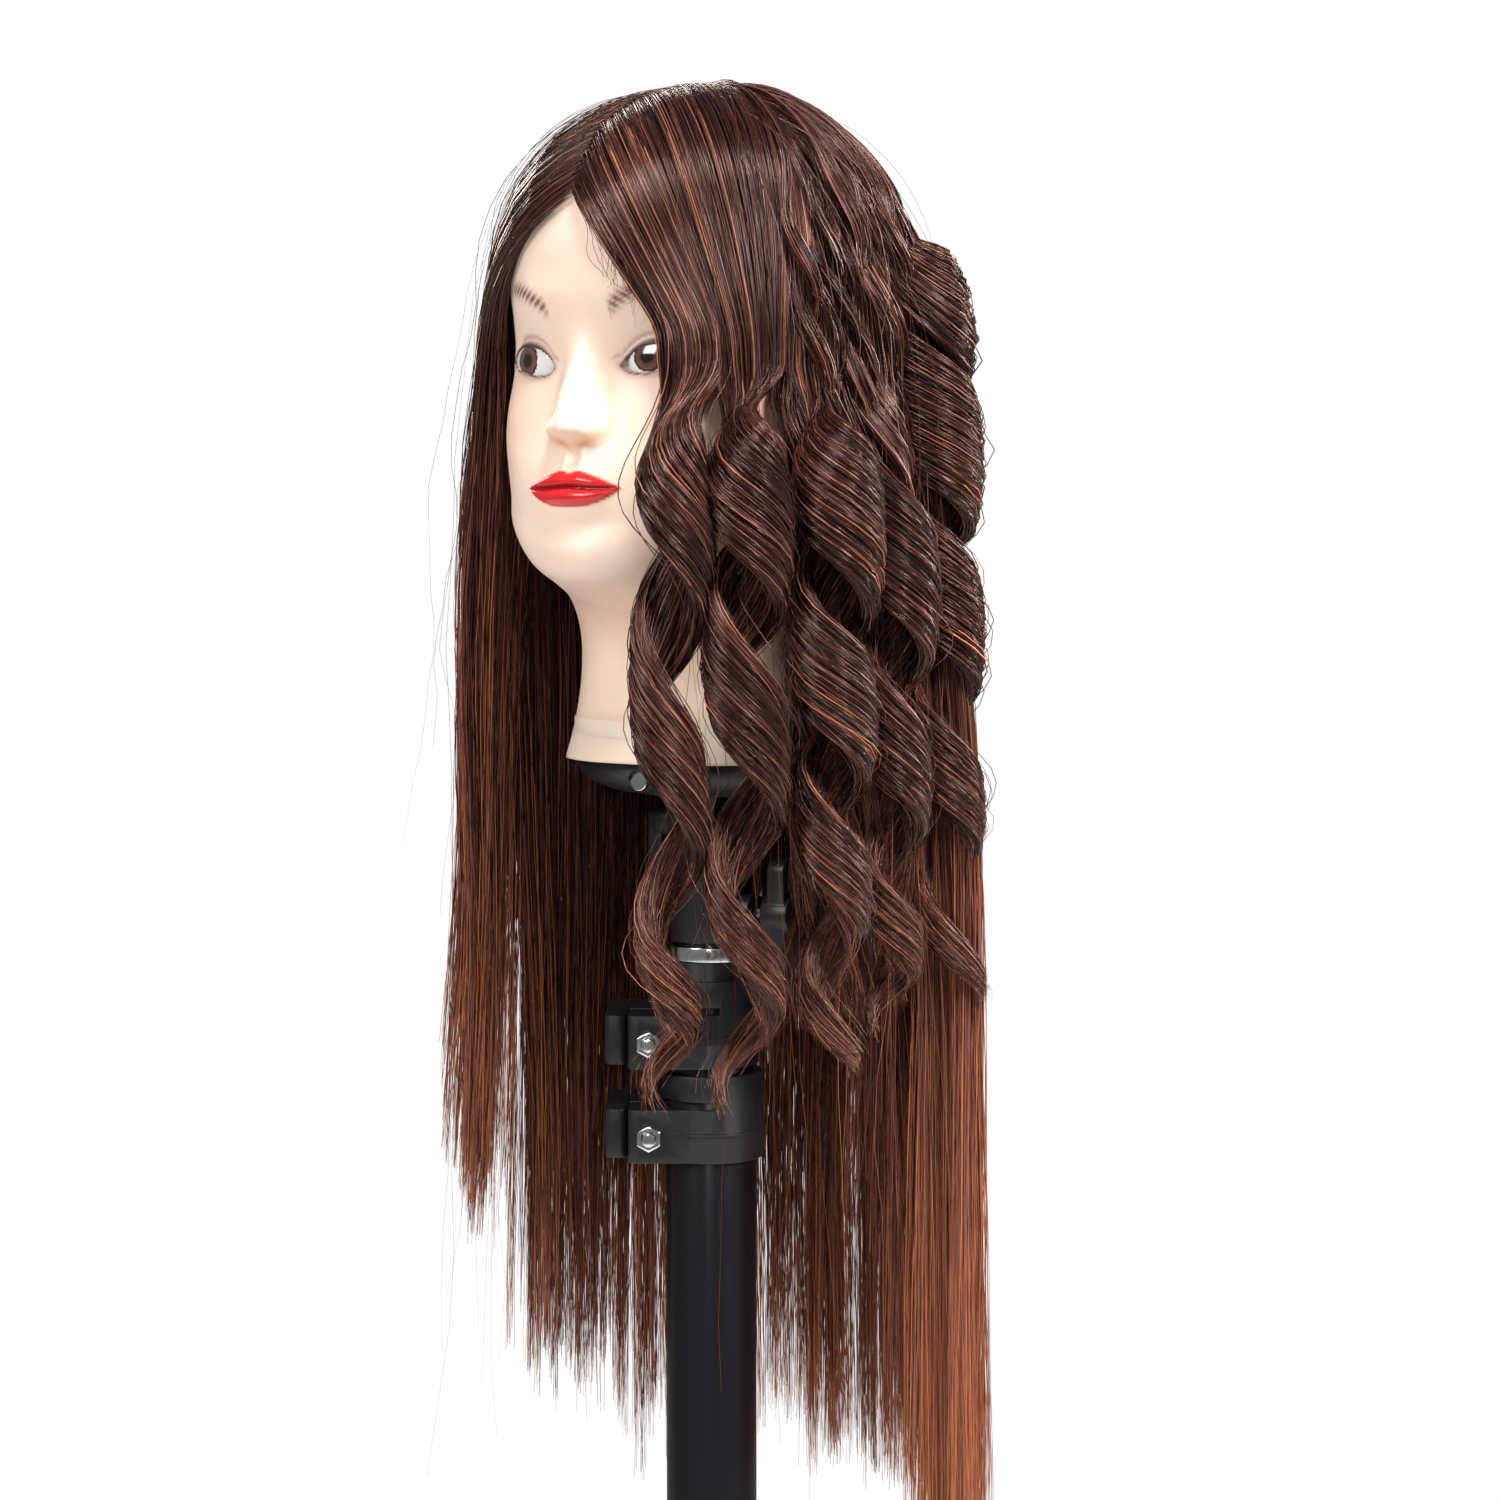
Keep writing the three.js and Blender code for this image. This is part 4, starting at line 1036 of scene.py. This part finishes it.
cap = {
    "columns": 180, "rows": 60, "top": 89.5, "outer": 2.6, "inner": 0.6, "grain": 0.25,
    "turns": [0, 25, 50, 75, 110, 180], "edge": [29, 26, 13, -6, -30, -42],  # how low it comes, by turn
}


def buildCap():
    # close-fitting under-layer of hair over the scalp
    columns, rows = cap["columns"], cap["rows"]
    turn = np.linspace(-180.0, 180.0, columns, endpoint=False)
    edge = np.interp(np.abs(turn), cap["turns"], cap["edge"])
    share = np.linspace(0.0, 1.0, rows)[:, None]
    rise = edge[None, :] + (cap["top"] - edge[None, :]) * share
    spread = np.broadcast_to(turn[None, :], rise.shape)
    ways = heading(spread, rise)
    grain = random.normal(0, cap["grain"], rise.shape)
    outer = overSkull(ways, cap["outer"] + grain)
    inner = overSkull(ways, np.full(rise.shape, cap["inner"]))
    points = np.vstack([outer.reshape(-1, 3), inner.reshape(-1, 3)])
    grid, skin = wrapped(rows, columns)
    under = skin[:, ::-1] + rows * columns
    low, high = grid[0], grid[-1]
    lowAfter, highAfter = np.roll(low, -1), np.roll(high, -1)
    hem = np.stack([lowAfter, low, low + rows * columns, lowAfter + rows * columns], 1)
    crown = np.stack([high, highAfter, highAfter + rows * columns, high + rows * columns], 1)
    faces = np.vstack([skin, under, hem, crown])

    def paintCap(wire):
        grain = wire.noise(60.0, 6.0, (1.0, 1.0, 0.25))
        colour = wire.ramp(grain, [(0.3, rgb(0.006, 0.003, 0.002)), (0.75, rgb(0.02, 0.008, 0.006))])
        return {"Base Color": colour, "Normal": wire.bump(grain, 0.6 * mm)}

    finish = surface("hairCap", paintCap, Roughness=0.6)
    piece = meshPiece("hairUnderlayer", standing(points), faces, finish)
    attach(piece, "head")
    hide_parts("hair_crown")


buildCap()
for name, part in straightParts.items():
    straightHair(name, part)
for node, lock in ringlets.items():
    for number in range(ringletLook["layers"]):
        ringletHair(node, lock, number + 1)
for name, part in sideWaves.items():
    wavyHair(name, part)
foreheadWisps()
flyaways()
print("the hair is laid")


def paintBlack(low, high, grain, depth):
    def paint(wire):
        mottle = wire.noise(grain, 3.0)
        worn = wire.noise(14.0, 5.0)
        colour = wire.ramp(mottle, [(0.3, low), (0.75, high)])
        rough = 0.3 + worn * 0.22
        return {"Base Color": colour, "Roughness": rough, "Normal": wire.bump(mottle, depth)}
    return paint


def paintTube(wire):
    streak = wire.noise(30.0, 3.0, (1.0, 1.0, 0.04))
    colour = wire.ramp(streak, [(0.3, rgb(0.003, 0.003, 0.004)), (0.8, rgb(0.008, 0.008, 0.011))])
    return {"Base Color": colour, "Roughness": 0.2 + streak * 0.1}


def paintChrome(wire):
    smear = wire.noise(60.0, 3.0)
    colour = wire.ramp(smear, [(0.3, rgb(0.62, 0.63, 0.64)), (0.8, rgb(0.8, 0.81, 0.82))])
    return {"Base Color": colour, "Roughness": 0.1 + smear * 0.14}


def paintFoam(wire):
    cells = wire.noise(500.0, 4.0)
    colour = wire.ramp(cells, [(0.3, rgb(0.7, 0.62, 0.44)), (0.7, rgb(0.8, 0.73, 0.55))])
    return {"Base Color": colour, "Normal": wire.bump(cells, 0.3 * mm)}


finishes = {
    "black_plastic": surface(
        "blackPlastic", paintBlack(rgb(0.008, 0.008, 0.0095), rgb(0.015, 0.015, 0.018), 900.0, 0.04 * mm),
        Specular_IOR_Level=0.4,
    ),
    "black_tube": surface("blackTube", paintTube, Specular_IOR_Level=0.45),
    "chrome": surface("chromePlate", paintChrome, Metallic=1.0),
    "rubber": surface(
        "rubberFoot", paintBlack(rgb(0.014, 0.014, 0.014), rgb(0.03, 0.03, 0.03), 500.0, 0.1 * mm),
    ),
    "foam": surface("foamCore", paintFoam, Roughness=0.95),
}
bevels = {"black_plastic": 0.7 * mm, "black_tube": 0.35 * mm, "chrome": 0.35 * mm, "rubber": 0.8 * mm}

edges = {"merge": 2e-6, "flat": 1.0, "rounded": 32.0, "sharp": 34.0, "steps": 2}  # metres, then degrees


def refined(node, slotName, body):
    # the CAD solid with its facets merged, its edges rounded and its curves smoothed
    source = frame["nodes"][node]
    bm = bmesh.new()
    bm.from_mesh(source.data)
    bmesh.ops.remove_doubles(bm, verts=bm.verts, dist=edges["merge"])
    bmesh.ops.dissolve_limit(
        bm, angle_limit=math.radians(edges["flat"]), verts=bm.verts, edges=bm.edges,
        use_dissolve_boundaries=False,
    )
    mesh = bpy.data.meshes.new(f"{node}_fine")
    bm.to_mesh(mesh)
    bm.free()
    mesh.materials.append(finishes[slotName])
    piece = placed(f"{node}_fine", mesh)
    rounding = piece.modifiers.new("rounded", "BEVEL")
    rounding.width = bevels[slotName]
    rounding.segments = edges["steps"]
    rounding.limit_method = "ANGLE"
    rounding.angle_limit = math.radians(edges["rounded"])
    rounding.use_clamp_overlap = True
    graph = bpy.context.evaluated_depsgraph_get()
    fine = bpy.data.meshes.new_from_object(piece.evaluated_get(graph), depsgraph=graph)
    piece.modifiers.clear()
    piece.data = fine
    piece.data.name = f"{node}_fine"
    piece.data.polygons.foreach_set("use_smooth", np.ones(len(piece.data.polygons), bool))
    piece.data.set_sharp_from_angle(angle=math.radians(edges["sharp"]))
    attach(piece, body)
    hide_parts(node)


foam = {"clear": 3.6, "within": 15.0, "cuts": 2}


def trimmedFoam(node, body):
    # the foam's flat facets cut across the hollow of the neck, so its side is drawn in under the vinyl
    outside = head["rows"] * head["columns"]
    vinyl = bpy.data.objects["paintedHead"].data
    shell = [tuple(face.vertices) for face in vinyl.polygons if max(face.vertices) < outside]
    skin = BVHTree.FromPolygons([vertex.co for vertex in vinyl.vertices], shell)
    bm = bmesh.new()
    bm.from_mesh(frame["nodes"][node].data)
    bmesh.ops.remove_doubles(bm, verts=bm.verts, dist=edges["merge"])
    bmesh.ops.subdivide_edges(bm, edges=bm.edges, cuts=foam["cuts"], use_grid_fill=True)
    for vertex in bm.verts:
        place, outward, _, distance = skin.find_nearest(vertex.co)
        depth = (place - vertex.co).dot(outward)
        if depth < foam["clear"] * mm and distance < foam["within"] * mm:
            vertex.co = place - outward * foam["clear"] * mm
    mesh = bpy.data.meshes.new("foamBlock")
    bm.to_mesh(mesh)
    bm.free()
    mesh.materials.append(finishes["foam"])
    piece = placed("foamBlock", mesh)
    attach(piece, body)
    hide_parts(node)


def buildStand():
    slots = {part["node"]: part["material_slot"] for part in frame["record"]["subparts"]}
    members = frame["record"]["behaviour"]["bodies"]
    for body, nodes in members.items():
        for node in nodes:
            if slots[node] in bevels:
                refined(node, slots[node], body)
            elif slots[node] == "foam":
                trimmedFoam(node, body)


buildStand()
print("the stand is finished")
